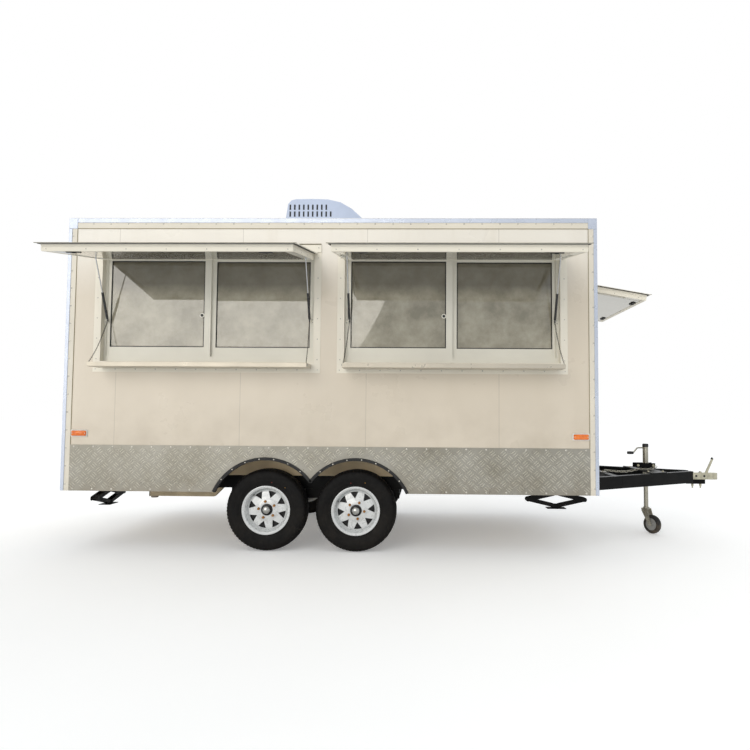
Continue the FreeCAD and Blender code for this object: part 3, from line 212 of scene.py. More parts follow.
class Graph:
    """Short calls for one material's nodes."""

    def __init__(self, name="dressing"):
        self.material = bpy.data.materials.new(name)
        self.material.use_nodes = True
        self.tree = self.material.node_tree
        self.shader = self.tree.nodes["Principled BSDF"]
        self.coords = self.node("ShaderNodeTexCoord").outputs["Object"]

    def node(self, kind, **values):
        made = self.tree.nodes.new(kind)
        for key, value in values.items():
            if key in made.inputs:
                self.set(made.inputs[key], value)
            else:
                setattr(made, key, value)
        return made

    def set(self, socket, value):
        if isinstance(value, bpy.types.NodeSocket):
            self.tree.links.new(value, socket)
        else:
            socket.default_value = value

    def look(self, **inputs):
        """Sets or links inputs of the shader, with _ for the spaces in their names."""
        for key, value in inputs.items():
            self.set(self.shader.inputs[key.replace("_", " ")], value)

    def noise(self, scale, detail=3.0, stretch=None, rough=0.55):
        vector = self.coords
        if stretch:
            mapped = self.node("ShaderNodeMapping", Scale=stretch)
            self.set(mapped.inputs["Vector"], vector)
            vector = mapped.outputs["Vector"]
        made = self.node("ShaderNodeTexNoise", Vector=vector, Scale=scale, Detail=detail, Roughness=rough)
        return made.outputs["Fac"]

    def ramp(self, value, low, high, out_low=0, out_high=1.0):
        made = self.node("ShaderNodeMapRange", clamp=True)
        for key, number in (("From Min", low), ("From Max", high), ("To Min", out_low), ("To Max", out_high)):
            made.inputs[key].default_value = number
        self.set(made.inputs["Value"], value)
        return made.outputs["Result"]

    def mix(self, factor, first, second):
        made = self.tree.nodes.new("ShaderNodeMix")
        made.data_type = "RGBA"
        self.set(made.inputs["Factor"], factor)
        self.set(made.inputs[6], first)
        self.set(made.inputs[7], second)
        return made.outputs[2]

    def maths(self, operation, first, second=0):
        made = self.node("ShaderNodeMath", operation=operation)
        self.set(made.inputs[0], first)
        self.set(made.inputs[1], second)
        return made.outputs[0]

    def height(self):
        """Height above the ground, in metres."""
        split = self.node("ShaderNodeSeparateXYZ", Vector=self.coords)
        return self.maths("ADD", split.outputs["Z"], BALL.z)

    def bump(self, height, strength, distance):
        made = self.node("ShaderNodeBump", Strength=strength, Distance=distance, Height=height)
        self.look(Normal=made.outputs["Normal"])


def surface(base, rough, metallic=0, shade=0.06, patch=2.2, grain=260.0, grain_depth=0.00025, stretch=None,
            coat=0, dust=0, dust_tint=(150, 132, 108), dust_top=0.9, spread=0.08, specular=0.5):
    """A painted, plated, moulded or metal surface: patches of tone, fine grain, uneven gloss, road dust."""
    g = Graph()
    tone = g.mix(g.ramp(g.noise(patch, 4), 0.35, 0.68), dimmed(base, 1 - shade * 2.2), colour(*base))
    if dust:
        low = g.ramp(g.height(), 0.25, dust_top, 1.0, 0)
        speck = g.ramp(g.noise(9, 6, rough=0.7), 0.42, 0.72)
        tone = g.mix(g.maths("MULTIPLY", g.maths("MULTIPLY", low, speck), dust), tone, colour(*dust_tint))
    g.look(Base_Color=tone, Metallic=metallic, Coat_Weight=coat, Coat_Roughness=0.08,
           Specular_IOR_Level=specular,
           Roughness=g.ramp(g.noise(patch * 5, 4), 0.3, 0.7, max(rough - spread, 0.03), rough + spread))
    g.bump(g.noise(grain, 2, stretch), 0.5, grain_depth)
    return g.material


def panel(base, seams=(), rough=0.3):
    """Gelcoat sandwich panel with faint upright joints between its sheets, painted lighter high up and darker low down
    as light and shade.
    """
    g = Graph()
    tone = g.mix(g.ramp(g.noise(0.8, 3), 0.3, 0.7), dimmed(base, 0.93), colour(*base))
    # lighter and bluer above 1.9 m: a painted highlight of sky light on the upper wall
    tone = g.mix(g.ramp(g.height(), 1.9, 2.35), tone, shifted(base, 12, 18, 26))
    streak = g.ramp(g.noise(6, 4, (1.0, 1.0, 0.08)), 0.52, 0.75, 0, 0.22)
    tone = g.mix(streak, tone, shifted(base, -16, -16, -18))
    # darker and warmer towards the bottom of the wall, in patches: painted shade on the lower wall
    low = g.ramp(g.height(), 0.75, 1.25, 0.3, 0)
    tone = g.mix(g.maths("MULTIPLY", low, g.ramp(g.noise(5, 5), 0.4, 0.7)), tone, colour(172, 158, 138))
    split = g.node("ShaderNodeSeparateXYZ", Vector=g.coords)
    height, line = g.noise(160, 2), None
    for seam in seams:
        away = g.maths("ABSOLUTE", g.maths("SUBTRACT", split.outputs["X"], seam - BALL.x))
        mark = g.ramp(away, 0.0015, 0.0035, 1.0, 0)
        line = g.maths("MAXIMUM", line, mark) if line else mark
    if line:
        tone = g.mix(g.maths("MULTIPLY", line, 0.35), tone, colour(150, 142, 128))
        height = g.maths("SUBTRACT", height, line)
    g.look(Base_Color=tone, Coat_Weight=0.35, Coat_Roughness=0.1,
           Roughness=g.ramp(g.noise(3, 4), 0.3, 0.7, rough - 0.06, rough + 0.08))
    g.bump(height, 0.25, 0.0004)
    return g.material


def tread(base):
    """Bright rolled aluminium, smeared by road dust near the ground."""
    g = Graph()
    tone = g.mix(g.ramp(g.noise(3, 4), 0.3, 0.7), colour(*base), shifted(base, -26, -28, -32))
    tone = g.mix(g.ramp(g.noise(40, 3, (8.0, 1.0, 0.6)), 0.55, 0.8, 0, 0.4), tone, shifted(base, 24, 24, 24))
    low = g.ramp(g.height(), 0.42, 0.62, 0.5, 0)
    tone = g.mix(g.maths("MULTIPLY", low, g.ramp(g.noise(8, 6), 0.42, 0.7)), tone, colour(136, 124, 106))
    g.look(Base_Color=tone, Metallic=0.5, Roughness=g.ramp(g.noise(14, 4), 0.3, 0.7, 0.24, 0.42))
    g.bump(g.noise(300, 2, (1.0, 1.0, 6.0)), 0.3, 0.0003)
    return g.material


def glass(tint, alpha):
    """Smeared window glass, darker towards the top as a painted shadow of the open flap."""
    g = Graph()
    tone = g.mix(g.ramp(g.noise(5.0, 6, rough=0.65), 0.36, 0.66), colour(*tint), shifted(tint, 44, 44, 44))
    # darker glass towards the top: a painted shadow of the open flap
    shade = g.ramp(g.height(), 1.92, 2.02, 0, 0.72)
    g.look(Base_Color=g.mix(shade, tone, colour(*(v * 0.62 for v in tint))), Alpha=alpha, IOR=1.5,
           Roughness=g.ramp(g.noise(7, 4), 0.4, 0.75, 0.015, 0.06), Specular_IOR_Level=0.9, Coat_Weight=1.0,
           Coat_Roughness=0.02)
    return g.material


def lens(base):
    """Moulded lamp lens with fine upright flutes."""
    g = Graph()
    tone = g.mix(g.ramp(g.noise(60, 2), 0.3, 0.7), colour(*base), shifted(base, 20, 25, 10))
    g.look(Base_Color=tone, Roughness=g.ramp(g.noise(20, 3), 0.3, 0.7, 0.08, 0.2), Coat_Weight=0.8,
           Subsurface_Weight=0.15)
    wave = g.node("ShaderNodeTexWave", Vector=g.coords, Scale=90.0, Distortion=0)
    g.bump(wave.outputs["Fac"], 0.5, 0.001)
    return g.material


SEAMS = (0.39, 1.335, 2.28, 3.27)
M = {
    "panel": panel((222, 211, 193), SEAMS),
    "end_panel": panel((222, 211, 193)),
    "roof": surface((226, 226, 224), 0.45, shade=0.08, dust=0.3, dust_top=4.0),
    "door": panel((224, 214, 196)),
    "trim": surface((230, 223, 208), 0.36, 0, shade=0.04, stretch=(1, 1, 12), dust=0.35, dust_top=0.8),
    # bluish metal: a painted sky highlight on the roof rail's rolled edge, the corner posts' outer edges and the
    # corner caps
    "rail": surface((204, 212, 228), 0.3, 0.3, shade=0.04, stretch=(12, 1, 1)),
    "tread": tread((166, 163, 154)),
    # the raised bars are a lighter copy of the plate's aluminium: a painted highlight where they catch the light
    "bar": tread((206, 203, 192)),
    "window": surface((238, 232, 217), 0.38, 0.05, shade=0.03, spread=0.04, stretch=(14, 1, 1)),
    "sash": surface((236, 233, 221), 0.36, 0.05, shade=0.03, spread=0.04, stretch=(1, 1, 14)),
    "gasket": surface((26, 26, 27), 0.62, shade=0.12, grain=500),
    "glass": glass((146, 140, 120), 0.84),
    "flap": panel((236, 230, 216)),
    "under": surface((196, 192, 182), 0.1, 1.0, shade=0.03, spread=0.03, stretch=(10, 1, 1)),
    "edge": surface((244, 238, 222), 0.4, 0, shade=0.03, stretch=(12, 1, 1)),
    "olive": surface((118, 112, 88), 0.5, 0.3, shade=0.15),
    "strut": surface((24, 24, 26), 0.3, coat=0.4, shade=0.1),
    "rod": surface((196, 197, 200), 0.14, 1.0, shade=0.04, stretch=(1, 1, 20)),
    "fitting": surface((176, 176, 172), 0.34, 0.9, shade=0.08),
    "shelf": surface((202, 194, 178), 0.32, 0.4, shade=0.05, grain=420, stretch=(24, 1, 1), spread=0.05),
    "black": surface((6, 7, 8), 0.4, shade=0.12, specular=0.12, dust=0.04, dust_tint=(112, 100, 84),
                     grain=180),
    "jack": surface((8, 8, 9), 0.42, shade=0.12, specular=0.15, dust=0.08, dust_tint=(110, 98, 82)),
    "axle": surface((28, 28, 30), 0.5, shade=0.2, dust=0.6, dust_tint=(104, 92, 76), dust_top=0.7),
    "floor": surface((226, 206, 170), 0.6, shade=0.12, dust=0.4, dust_tint=(140, 122, 98)),
    "tyre": surface((13, 12, 12), 0.66, shade=0.1, patch=7, grain=420, grain_depth=0.0004, dust=0.16,
                    dust_tint=(70, 62, 52), dust_top=0.7, specular=0.2),
    "wheel": surface((224, 226, 226), 0.3, 0.15, shade=0.02, coat=0.3, patch=9),
    "hub": surface((20, 20, 22), 0.34, 0.3, shade=0.2, patch=20),
    "cap": surface((196, 196, 192), 0.22, 0.95, shade=0.1, patch=18),
    "nut": surface((176, 122, 62), 0.36, 0.85, shade=0.2, patch=60),
    "zinc": surface((186, 182, 168), 0.3, 0.9, shade=0.12, patch=16, dust=0.2),
    "yellow_zinc": surface((208, 203, 180), 0.34, 0.7, shade=0.15, patch=24),
    "castor": surface((30, 30, 31), 0.68, shade=0.15, patch=20, dust=0.4),
    "castor_hub": surface((150, 150, 148), 0.5, shade=0.1, patch=20),
    "plastic": surface((26, 26, 28), 0.5, shade=0.1, patch=12, grain=340),
    # bluish white: a painted tint of sky light on the white roof unit
    "unit": surface((200, 212, 235), 0.42, shade=0.04, patch=3, grain=320, dust=0.12, dust_top=4.5),
    "slot": surface((40, 42, 46), 0.7, shade=0.2, patch=10),
    "amber": lens((232, 104, 4)),
    "red": lens((168, 22, 18)),
    "white_plastic": surface((232, 230, 224), 0.4, shade=0.05, patch=10),
    "pipe": surface((158, 152, 142), 0.5, 0.2, shade=0.1, patch=8, dust=0.5),
    "khaki": surface((150, 138, 106), 0.5, shade=0.1),
    "chain": surface((70, 66, 60), 0.4, 0.8, shade=0.2, patch=40),
    "rivet": surface((212, 208, 198), 0.3, 0.6, shade=0.1, patch=50),
    "red_dot": surface((150, 40, 30), 0.6, shade=0.1, patch=50),
    "yellow_dot": surface((190, 140, 50), 0.6, shade=0.1, patch=50),
    "plate": surface((232, 232, 226), 0.35, shade=0.05, patch=6),
}
for kind, material in M.items():
    material.name = kind


# ---- mesh building
def quads(rows, n, closed_rows=False, closed_columns=True):
    """Faces between neighbouring rows of n points each."""
    return [(i * n + k, i * n + (k + 1) % n, (i + 1) % rows * n + (k + 1) % n, (i + 1) % rows * n + k)
            for i in range(rows if closed_rows else rows - 1) for k in range(n if closed_columns else n - 1)]


class Piece:
    """Collects faces of one visible piece in the row frame, through a placing function."""

    def __init__(self, name, kind, body="trailer", place=None, slot=None, smooth=40.0):
        self.name, self.materials, self.body = name, [M[kind]], body
        self.place = place or (lambda p: at(*p))
        self.slot, self.smooth = slot, smooth
        self.verts, self.faces, self.index, self.current = [], [], [], 0

    def paint(self, kind):
        """Faces added from now on have this material."""
        if M[kind] not in self.materials:
            self.materials.append(M[kind])
        self.current = self.materials.index(M[kind])
        return self

    def add(self, points, faces):
        start = len(self.verts)
        self.verts += [self.place(p) for p in points]
        self.faces += [tuple(start + i for i in f) for f in faces]
        self.index += [self.current] * len(faces)
        return self

    def block(self, low, high, chamfer=0.0015):
        """A box with chamfered edges between two opposite corners, in any order."""
        low, high = zip(*(sorted(pair) for pair in zip(low, high)))
        c = min(chamfer, *((h - l) * 0.45 for l, h in zip(low, high)))
        mesh = bmesh.new()
        bmesh.ops.create_cube(mesh, size=1.0)
        for v in mesh.verts:
            v.co = Vector((low[i] + (v.co[i] + 0.5) * (high[i] - low[i]) for i in range(3)))
        bmesh.ops.bevel(mesh, geom=mesh.edges[:], offset=c, segments=1, profile=0.5, affect="EDGES")
        mesh.verts.index_update()
        self.add([tuple(v.co) for v in mesh.verts], [[v.index for v in f.verts] for f in mesh.faces])
        mesh.free()
        return self

    def lathe(self, profile, centre, axis, segments=48, closed=False):
        """A profile of (radius, along) points turned about an axis, capped where an open one ends off it."""
        axis, centre, n = Vector(axis).normalized(), Vector(centre), len(profile)
        side = axis.orthogonal().normalized()
        other = axis.cross(side)
        points, faces = [], []
        for i in range(segments):
            a, j = 2 * pi * i / segments, (i + 1) % segments
            out = side * cos(a) + other * sin(a)
            points += [tuple(centre + out * r + axis * t) for r, t in profile]
            for k in range(n if closed else n - 1):
                m = (k + 1) % n
                faces.append((i * n + k, j * n + k, j * n + m, i * n + m))
        if not closed and profile[0][0] > 1e-5:
            faces.append([i * n for i in range(segments)][::-1])
        if not closed and profile[-1][0] > 1e-5:
            faces.append([i * n + n - 1 for i in range(segments)])
        return self.add(points, faces)

    def ring(self, profile, centre, axis, segments=48):
        """A closed profile turned about an axis."""
        return self.lathe(profile, centre, axis, segments, closed=True)

    def plug(self, steps, centre, axis, segments):
        """A turned solid with flat ends."""
        return self.lathe([(0, steps[0][1]), *steps, (0, steps[-1][1])], centre, axis, segments)

    def dome(self, centre, axis, radius, high, sides=8):
        """A low round head, such as a rivet's or a screw's."""
        return self.lathe([(radius, 0), (radius * 0.92, high * 0.5), (radius * 0.5, high * 0.92), (0, high)],
                          centre,
                          axis, sides)

    def tube(self, path, radius, sides=10, closed=False):
        """A round bar along a path of points."""
        path = [Vector(p) for p in path]
        count, points, side = len(path), [], None
        for i, p in enumerate(path):
            before = path[i - 1] if i or closed else p
            after = path[(i + 1) % count] if i < count - 1 or closed else p
            along = (after - before).normalized()
            side = (side - along * side.dot(along) if side else along.orthogonal()).normalized()
            other = along.cross(side)
            for k in range(sides):
                a = 2 * pi * k / sides
                points.append(tuple(p + (side * cos(a) + other * sin(a)) * radius))
        faces = quads(count, sides, closed)
        if not closed:
            faces.append(list(range(sides))[::-1])
            faces.append([(count - 1) * sides + k for k in range(sides)])
        return self.add(points, faces)

    def prism(self, outline, low, high, plane="xz"):
        """A flat outline pushed through a thickness: xz is pushed along y, yz along x, xy along z."""
        def lift(p, t):
            return {"xz": (p[0], t, p[1]), "yz": (t, p[0], p[1]), "xy": (p[0], p[1], t)}[plane]
        n = len(outline)
        points = [lift(p, low) for p in outline] + [lift(p, high) for p in outline]
        faces = [list(range(n))[::-1], [n + i for i in range(n)]]
        faces += [(i, (i + 1) % n, n + (i + 1) % n, n + i) for i in range(n)]
        return self.add(points, faces)

    def done(self, *replaced, bevel=0):
        mesh = bpy.data.meshes.new(self.name)
        mesh.from_pydata([tuple(v) for v in self.verts], [], self.faces)
        for m in self.materials:
            mesh.materials.append(m)
        mesh.polygons.foreach_set("material_index", self.index)
        mesh.validate()
        work = bmesh.new()
        work.from_mesh(mesh)
        bmesh.ops.recalc_face_normals(work, faces=work.faces)
        work.to_mesh(mesh)
        work.free()
        made = placed(self.name, mesh)
        for p in mesh.polygons:
            p.use_smooth = True
        mesh.set_sharp_from_angle(angle=radians(self.smooth))
        if bevel:
            edge = made.modifiers.new("Edges", "BEVEL")
            edge.width, edge.segments, edge.limit_method, edge.angle_limit = bevel, 2, "ANGLE", radians(40)
        if self.body:
            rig.ride(made, self.body)
        if self.slot:
            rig.slot(made, self.slot)
        if replaced:
            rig.replaces(made, *replaced)
        return made


# ---- carried-over CAD nodes
def dress(node, kind):
    """Give a CAD node its material."""
    mesh = NODES[node].data
    mesh.materials.clear()
    mesh.materials.append(M[kind])
    for p in mesh.polygons:
        p.material_index = 0


DRESS = {
    "black": "chassis_frame", "floor": "floor_panel", "panel": "right_wall left_wall",
    "end_panel": "front_wall rear_wall", "roof": "roof_panel", "trim": "body_trims", "tread": "skirt_plates",
    "axle": "sprung_axles", "window": "opening_trims", "sash": "window_frames", "glass": "window_glass",
    "flap": "rear_flap forward_flap nose_flap",
    "strut": "rear_strut_tubes forward_strut_tubes nose_strut_tubes",
    "rod": "rear_strut_rods forward_strut_rods nose_strut_rods", "shelf": "rear_shelf forward_shelf",
    "door": "entry_door", "yellow_zinc": "coupler", "zinc": "jockey_leg jockey_fork",
}
for kind, nodes in DRESS.items():
    for node in nodes.split():
        dress(node, kind)
for node in NODES:
    if "_jack_" in node:
        dress(node, "jack")


# ---- rivets and edges of the body
def spaced(low, high, pitch):
    """Even places between two ends, about a pitch apart."""
    count = max(1, round((high - low) / pitch))
    return [low + (high - low) * i / count for i in range(count + 1)]


def body_rivets():
    p = Piece("body_rivets", "rivet")
    for side in (-1, 1):
        face = side * (HALF + SKIN)
        for x in (POST * 0.5, LONG - POST * 0.5):
            for z in spaced(SKIRT_LOW + 0.05, ROOF - RAIL - 0.06, 0.137):
                p.dome((x, face, z), (0, side, 0), 0.0065, 0.003)
        for x in spaced(0.05, LONG - 0.05, 0.134):
            p.dome((x, face, ROOF - RAIL * 0.55), (0, side, 0), 0.0065, 0.003)
        for z, keep_clear in ((SKIRT_HIGH - 0.014, False), (SKIRT_LOW + 0.014, True)):
            for x in spaced(POST + 0.03, LONG - POST - 0.03, 0.148):
                gap = min(abs(x - a) for a in AXLES.values())
                if keep_clear and gap < 0.42:
                    continue
                p.dome((x, face, z), (0, side, 0), 0.0075, 0.003)
    for end, x in ((-1, -SKIN), (1, LONG + SKIN)):
        for side in (-1, 1):
            for z in spaced(SKIRT_LOW + 0.05, ROOF - RAIL - 0.06, 0.137):
                p.dome((x, side * (HALF - POST * 0.5), z), (end, 0, 0), 0.0055, 0.0025)
        for y in spaced(-HALF + 0.05, HALF - 0.05, 0.134):
            p.dome((x, y, ROOF - RAIL * 0.55), (end, 0, 0), 0.0055, 0.0025)
    p.done()


body_rivets()


def trim_lines():
    """Rolled upper edge of the roof rail, outer edges of the corner posts, corner caps and sealant lines; the bluish
    edge, post strips and caps are a painted sky highlight.
    """
    p = Piece("trim_lines", "rail")
    low = ROOF - RAIL
    for side in (-1, 1):
        face = side * (HALF + SKIN)
        a, b = sorted((face, face + side * 0.004))
        # the bluish edge, post strips and caps are a painted sky highlight
        p.paint("rail").block((0.064, a, ROOF - 0.034), (LONG - 0.064, b, ROOF + 0.0005), 0.003)
        for x, end in ((-SKIN, 1), (LONG + SKIN, -1)):
            lo, hi = sorted((x, x + end * 0.026))
            p.block((lo - 0.0007, a, SKIRT_LOW + 0.001), (hi, b, low - 0.005), 0.003)
            lo, hi = sorted((x, x + end * 0.066))
            p.block((lo - 0.0007, a, low - 0.004), (hi, b + 0.0007, ROOF + 0.0012), 0.003)
        a, b = sorted((side * HALF, face + side * 0.0005))
        p.paint("khaki").block((POST, a, low - 0.005), (LONG - POST, b, low), 0.0006)
        p.block((POST, a, SKIRT_HIGH), (POST + 0.0045, b, low), 0.0006)
        p.block((LONG - POST - 0.0045, a, SKIRT_HIGH), (LONG - POST, b, low), 0.0006)
    p.done()


trim_lines()


def tread_bars():
    """Raised lozenges of the tread plate, three to a cell, in a basket weave of two slants."""
    # the bars take the lighter bar finish: a painted highlight on the raised lozenges
    p = Piece("tread_bars", "bar", smooth=30)
    cell_x, cell_z = 0.0405, 0.0365
    long, wide, high, pitch, slope = 0.025, 0.005, 0.0024, 0.0165, radians(42)

    def lozenge(centre, slant, lift):
        ux, uz = cos(slant), sin(slant)
        shape = ((-1, 0), (-0.55, 0.8), (0.55, 0.8), (1, 0), (0.55, -0.8), (-0.55, -0.8))

        def outline(reach, breadth, up):
            spots = [(a * reach, b * breadth) for a, b in shape]
            return [lift((centre[0] + a * ux - b * uz, centre[1] + a * uz + b * ux), up) for a, b in spots]

        points = outline(long, wide, 0) + outline(long * 0.78, wide * 0.45, high)
        p.add(points, [(i, (i + 1) % 6, 6 + (i + 1) % 6, 6 + i)
                       for i in range(6)] + [[6 + i for i in range(6)]])

    def field(low_u, high_u, low_z, high_z, lift, blocked):
        columns = int((high_u - low_u) / cell_x)
        rows = int((high_z - low_z) / cell_z)
        for i in range(columns):
            for k in range(rows):
                u = low_u + (i + 0.5) * (high_u - low_u) / columns
                z = low_z + (k + 0.5) * (high_z - low_z) / rows
                if (i + k) % 2 or blocked(u, z):
                    continue
                slant = slope if k % 2 else -slope
                for step in (-pitch, 0, pitch):
                    lozenge((u - step * sin(slant), z + step * cos(slant)), slant, lift)

    def in_arch(u, z):
        return any(hypot(u - a, z - ARCH_Z) < ARCH + 0.03 for a in AXLES.values())

    def at_door_or_lamp(u, z):
        return (abs(u) < 0.46 and z > 0.51) or (abs(abs(u) - 0.87) < 0.1 and 0.66 < z < 0.79)

    for side in (-1, 1):
        field(POST + 0.004, LONG - POST - 0.004, SKIRT_LOW + 0.024, SKIRT_HIGH - 0.024,
              lambda q, h, s=side: (q[0], s * (HALF + SKIN + h), q[1]), in_arch)
    field(-HALF + POST + 0.01, HALF - POST - 0.01, 0.562, SKIRT_HIGH - 0.01,
          lambda q, h: (LONG + SKIN + h, q[0], q[1]), lambda u, z: False)
    field(-HALF + POST + 0.01, HALF - POST - 0.01, SKIRT_LOW + 0.01, SKIRT_HIGH - 0.01,
          lambda q, h: (-SKIN - h, q[0], q[1]), at_door_or_lamp)
    p.done()


tread_bars()


def arch_edging():
    """Black rubber along both wheel arches of each side."""
    p = Piece("arch_edging", "gasket")
    foot = asin((SKIRT_LOW - ARCH_Z) / ARCH)
    meet = acos((AXLES["front"] - AXLES["rear"]) / 2 / ARCH)
    low, high, inward = HALF + SKIN, HALF + SKIN + 0.006, HALF - 0.03
    outer, inner, screws, steps = ARCH + 0.014, ARCH - 0.008, ARCH + 0.002, 40
    for side in (-1, 1):
        for row, x in AXLES.items():
            first, last = (meet, pi - foot) if row == "rear" else (foot, pi - meet)
            points = []
            for i in range(steps + 1):
                a = first + (last - first) * i / steps
                points += [(x + r * cos(a), side * y, ARCH_Z + r * sin(a))
                           for r, y in ((outer, low), (outer, high), (inner, high), (inner, inward))]
            faces = quads(steps + 1, 4) + [(0, 1, 2, 3), tuple(steps * 4 + k for k in (3, 2, 1, 0))]
            p.paint("gasket").add(points, faces)
            for i in range(1, 8):
                a = first + (last - first) * i / 8
                p.paint("rivet").dome((x + screws * cos(a), side * high, ARCH_Z + screws * sin(a)),
                                      (0, side, 0), 0.005, 0.002)
    p.done()


arch_edging()


# ---- wheels
def mirrored(points):
    """A profile of (radius, along) points from its low end to the middle and back out to its high end."""
    return [(r, -t) for r, t in points] + [(r, t) for r, t in reversed(points)]


def tyre(name, body, x, side):
    """Tyre with a stepped side wall, three grooves and cut shoulders."""
    p = Piece(name, "tyre", body, slot="tyre", smooth=50)
    y = side * TYRE_Y
    wall = [(0.166, 0.064), (0.17, 0.072), (0.181, 0.0755), (0.186, 0.0745), (0.193, 0.078), (0.199, 0.0775),
            (0.206, 0.081), (0.226, 0.0855), (0.231, 0.085), (0.236, 0.0865), (0.258, 0.0872), (0.262,
                                    0.0862),
            (0.268, 0.0862), (0.281, 0.0815)]
    ribs = [(0.289, 0.078), (0.2955, 0.071), (0.3005, 0.06), (0.3025, 0.046), (0.2955, 0.0455),
            (0.2955, 0.037),
            (0.3038, 0.0365), (0.3046, 0.018), (0.2965, 0.0175), (0.2965, 0.009), (0.305, 0.0085)]
    profile = mirrored(wall + ribs)
    steps = 216
    points = []
    for i in range(steps):
        a = 2 * pi * i / steps
        cut = i % 3 == 0
        for r, t in profile:
            deep = 0
            if cut and 0.286 < r and abs(t) > 0.05:
                deep = 0.006
            if (i + (2 if t > 0 else 0)) % 6 == 0 and r > 0.302 and abs(t) < 0.04:
                deep = 0.005
            points.append((x + (r - deep) * cos(a), y + t * side, TYRE + (r - deep) * sin(a)))
    p.add(points, quads(steps, len(profile), True, False))
    p.done(name.replace("_shown", ""))


def pressed_disc(p, spot, turn):
    """Sheet disc of a wheel, in rings of points, with a three-cornered window in every eighth."""
    depth = {0.038: 0.046, 0.05: 0.046, 0.072: 0.045, 0.08: 0.041, 0.088: 0.038, 0.096: 0.037, 0.104: 0.0365,
             0.112: 0.036, 0.12: 0.035, 0.13: 0.034, 0.14: 0.031, 0.145: 0.027, 0.1505: 0.021}
    rings = list(depth)
    windows, fine = 8, 12
    steps = windows * fine
    thick = 0.005
    hole_low, hole_high, half = 0.088, 0.14, 0.03
    points, faces = [], []
    def warped(r, i):
        """Columns gather along a window's edges."""
        a = 2 * pi * i / steps + turn
        k = i % fine
        if hole_low <= r <= hole_high and 3 <= k <= 9:
            width = half * (r - hole_low) / (hole_high - hole_low) + 0.0008
            a = 2 * pi * (i - k + 6) / steps + turn + (k - 6) / 3 * width / r
        return a
    for layer in (0, -thick):
        for r in rings:
            for i in range(steps):
                points.append(spot(r, warped(r, i), depth[r] + layer))
    n, m = steps, len(rings)
    def vertex(layer, ring, i):
        return layer * n * m + ring * n + i % n
    def is_hole(ring, i):
        return hole_low <= rings[ring] and rings[ring + 1] <= hole_high and 3 <= i % fine < 9
    for ring in range(m - 1):
        for i in range(n):
            if is_hole(ring, i):
                continue
            faces.append((vertex(0, ring, i), vertex(0, ring + 1, i), vertex(0, ring + 1, i + 1),
                          vertex(0, ring, i + 1)))
            faces.append((vertex(1, ring, i), vertex(1, ring, i + 1), vertex(1, ring + 1, i + 1),
                          vertex(1, ring + 1, i)))
            if i % fine == 2 and is_hole(ring, i + 1):
                faces.append((vertex(0, ring, i + 1), vertex(0, ring + 1, i + 1), vertex(1, ring + 1, i + 1),
                              vertex(1, ring, i + 1)))
            if i % fine == 9 and is_hole(ring, i - 1):
                faces.append((vertex(0, ring, i), vertex(1, ring, i), vertex(1, ring + 1, i),
                              vertex(0, ring + 1, i)))
    top = rings.index(hole_high)
    for i in range(n):
        if is_hole(top - 1, i):
            faces.append((vertex(0, top, i), vertex(0, top, i + 1), vertex(1, top, i + 1), vertex(1, top, i)))
    p.add(points, faces)


def wheel_disc(name, body, x, side, turn):
    """Pressed steel wheel with eight three-cornered windows, lug nuts, hub and valve."""
    p = Piece(name, "wheel", body, slot="rim", smooth=35)
    y = side * TYRE_Y
    out = (0, side, 0)
    hub = (x, y, TYRE), out
    def spot(r, a, t):
        return (x + r * cos(a), y + side * t, TYRE + r * sin(a))
    flange = [(0.166, 0.074), (0.18, 0.0745), (0.1815, 0.08), (0.1765, 0.082), (0.172, 0.0795),
              (0.163, 0.072)]
    barrel = [(r, -t) for r, t in flange] + [(0.161, -0.05), (0.15, -0.03), (0.15, 0.02), (0.158, 0.034),
                            (0.16, 0.052)]
    barrel += flange[::-1] + [(0.164, 0.05), (0.154, 0.03), (0.154, -0.028), (0.164, -0.05)]
    p.ring(barrel, *hub, 96)
    pressed_disc(p, spot, turn)
    # a dark disc across the back of the wheel, so the windows show black: painted shade inside the wheel
    p.paint("hub").ring([(0.04, 0.012), (0.149, 0.012), (0.149, 0.004), (0.04, 0.004)], *hub, 48)
    p.paint("hub").plug([(0.044, 0.03), (0.044, 0.049), (0.041, 0.054), (0.033, 0.056), (0.03, 0.056),
                         (0.03, 0.05)],
                            *hub, 40)
    p.paint("cap").lathe([(0, 0.045), (0.0285, 0.045), (0.0285, 0.066), (0.0275, 0.072), (0.022, 0.0785),
                          (0.012, 0.082), (0, 0.083)],
                            *hub, 36)
    for k in range(5):
        a = turn * 1.7 + 2 * pi * k / 5 + pi / 2
        centre = spot(0.0625, a, 0.044)
        p.paint("nut").plug([(0.0115, 0), (0.0105, 0.003), (0.0098, 0.004), (0.0098, 0.014), (0.008, 0.0165)],
                                centre, out, 6)
    a = turn + 2.2
    p.paint("plastic").tube([spot(0.15, a, 0.03), spot(0.147, a, 0.046), spot(0.143, a, 0.058)], 0.0042, 10)
    p.paint("cap").tube([spot(0.1432, a, 0.0575), spot(0.1405, a, 0.067)], 0.0046, 8)
    p.paint("red_dot").dome(spot(0.212, turn + 1.25, 0.0815), out, 0.0042, 0.0012, 10)
    p.paint("yellow_dot").dome(spot(0.222, turn + 0.75, 0.0838), out, 0.0042, 0.0012, 10)
    p.done(name.replace("_shown", ""))


for row, x in AXLES.items():
    for hand, side in (("right", -1), ("left", 1)):
        body = f"{row}_{hand}_wheel"
        tyre(f"{row}_{hand}_tyre_shown", body, x, side)
        wheel_disc(f"{row}_{hand}_rim_shown", body, x, side, 0.12 if row == "rear" else 0.5)


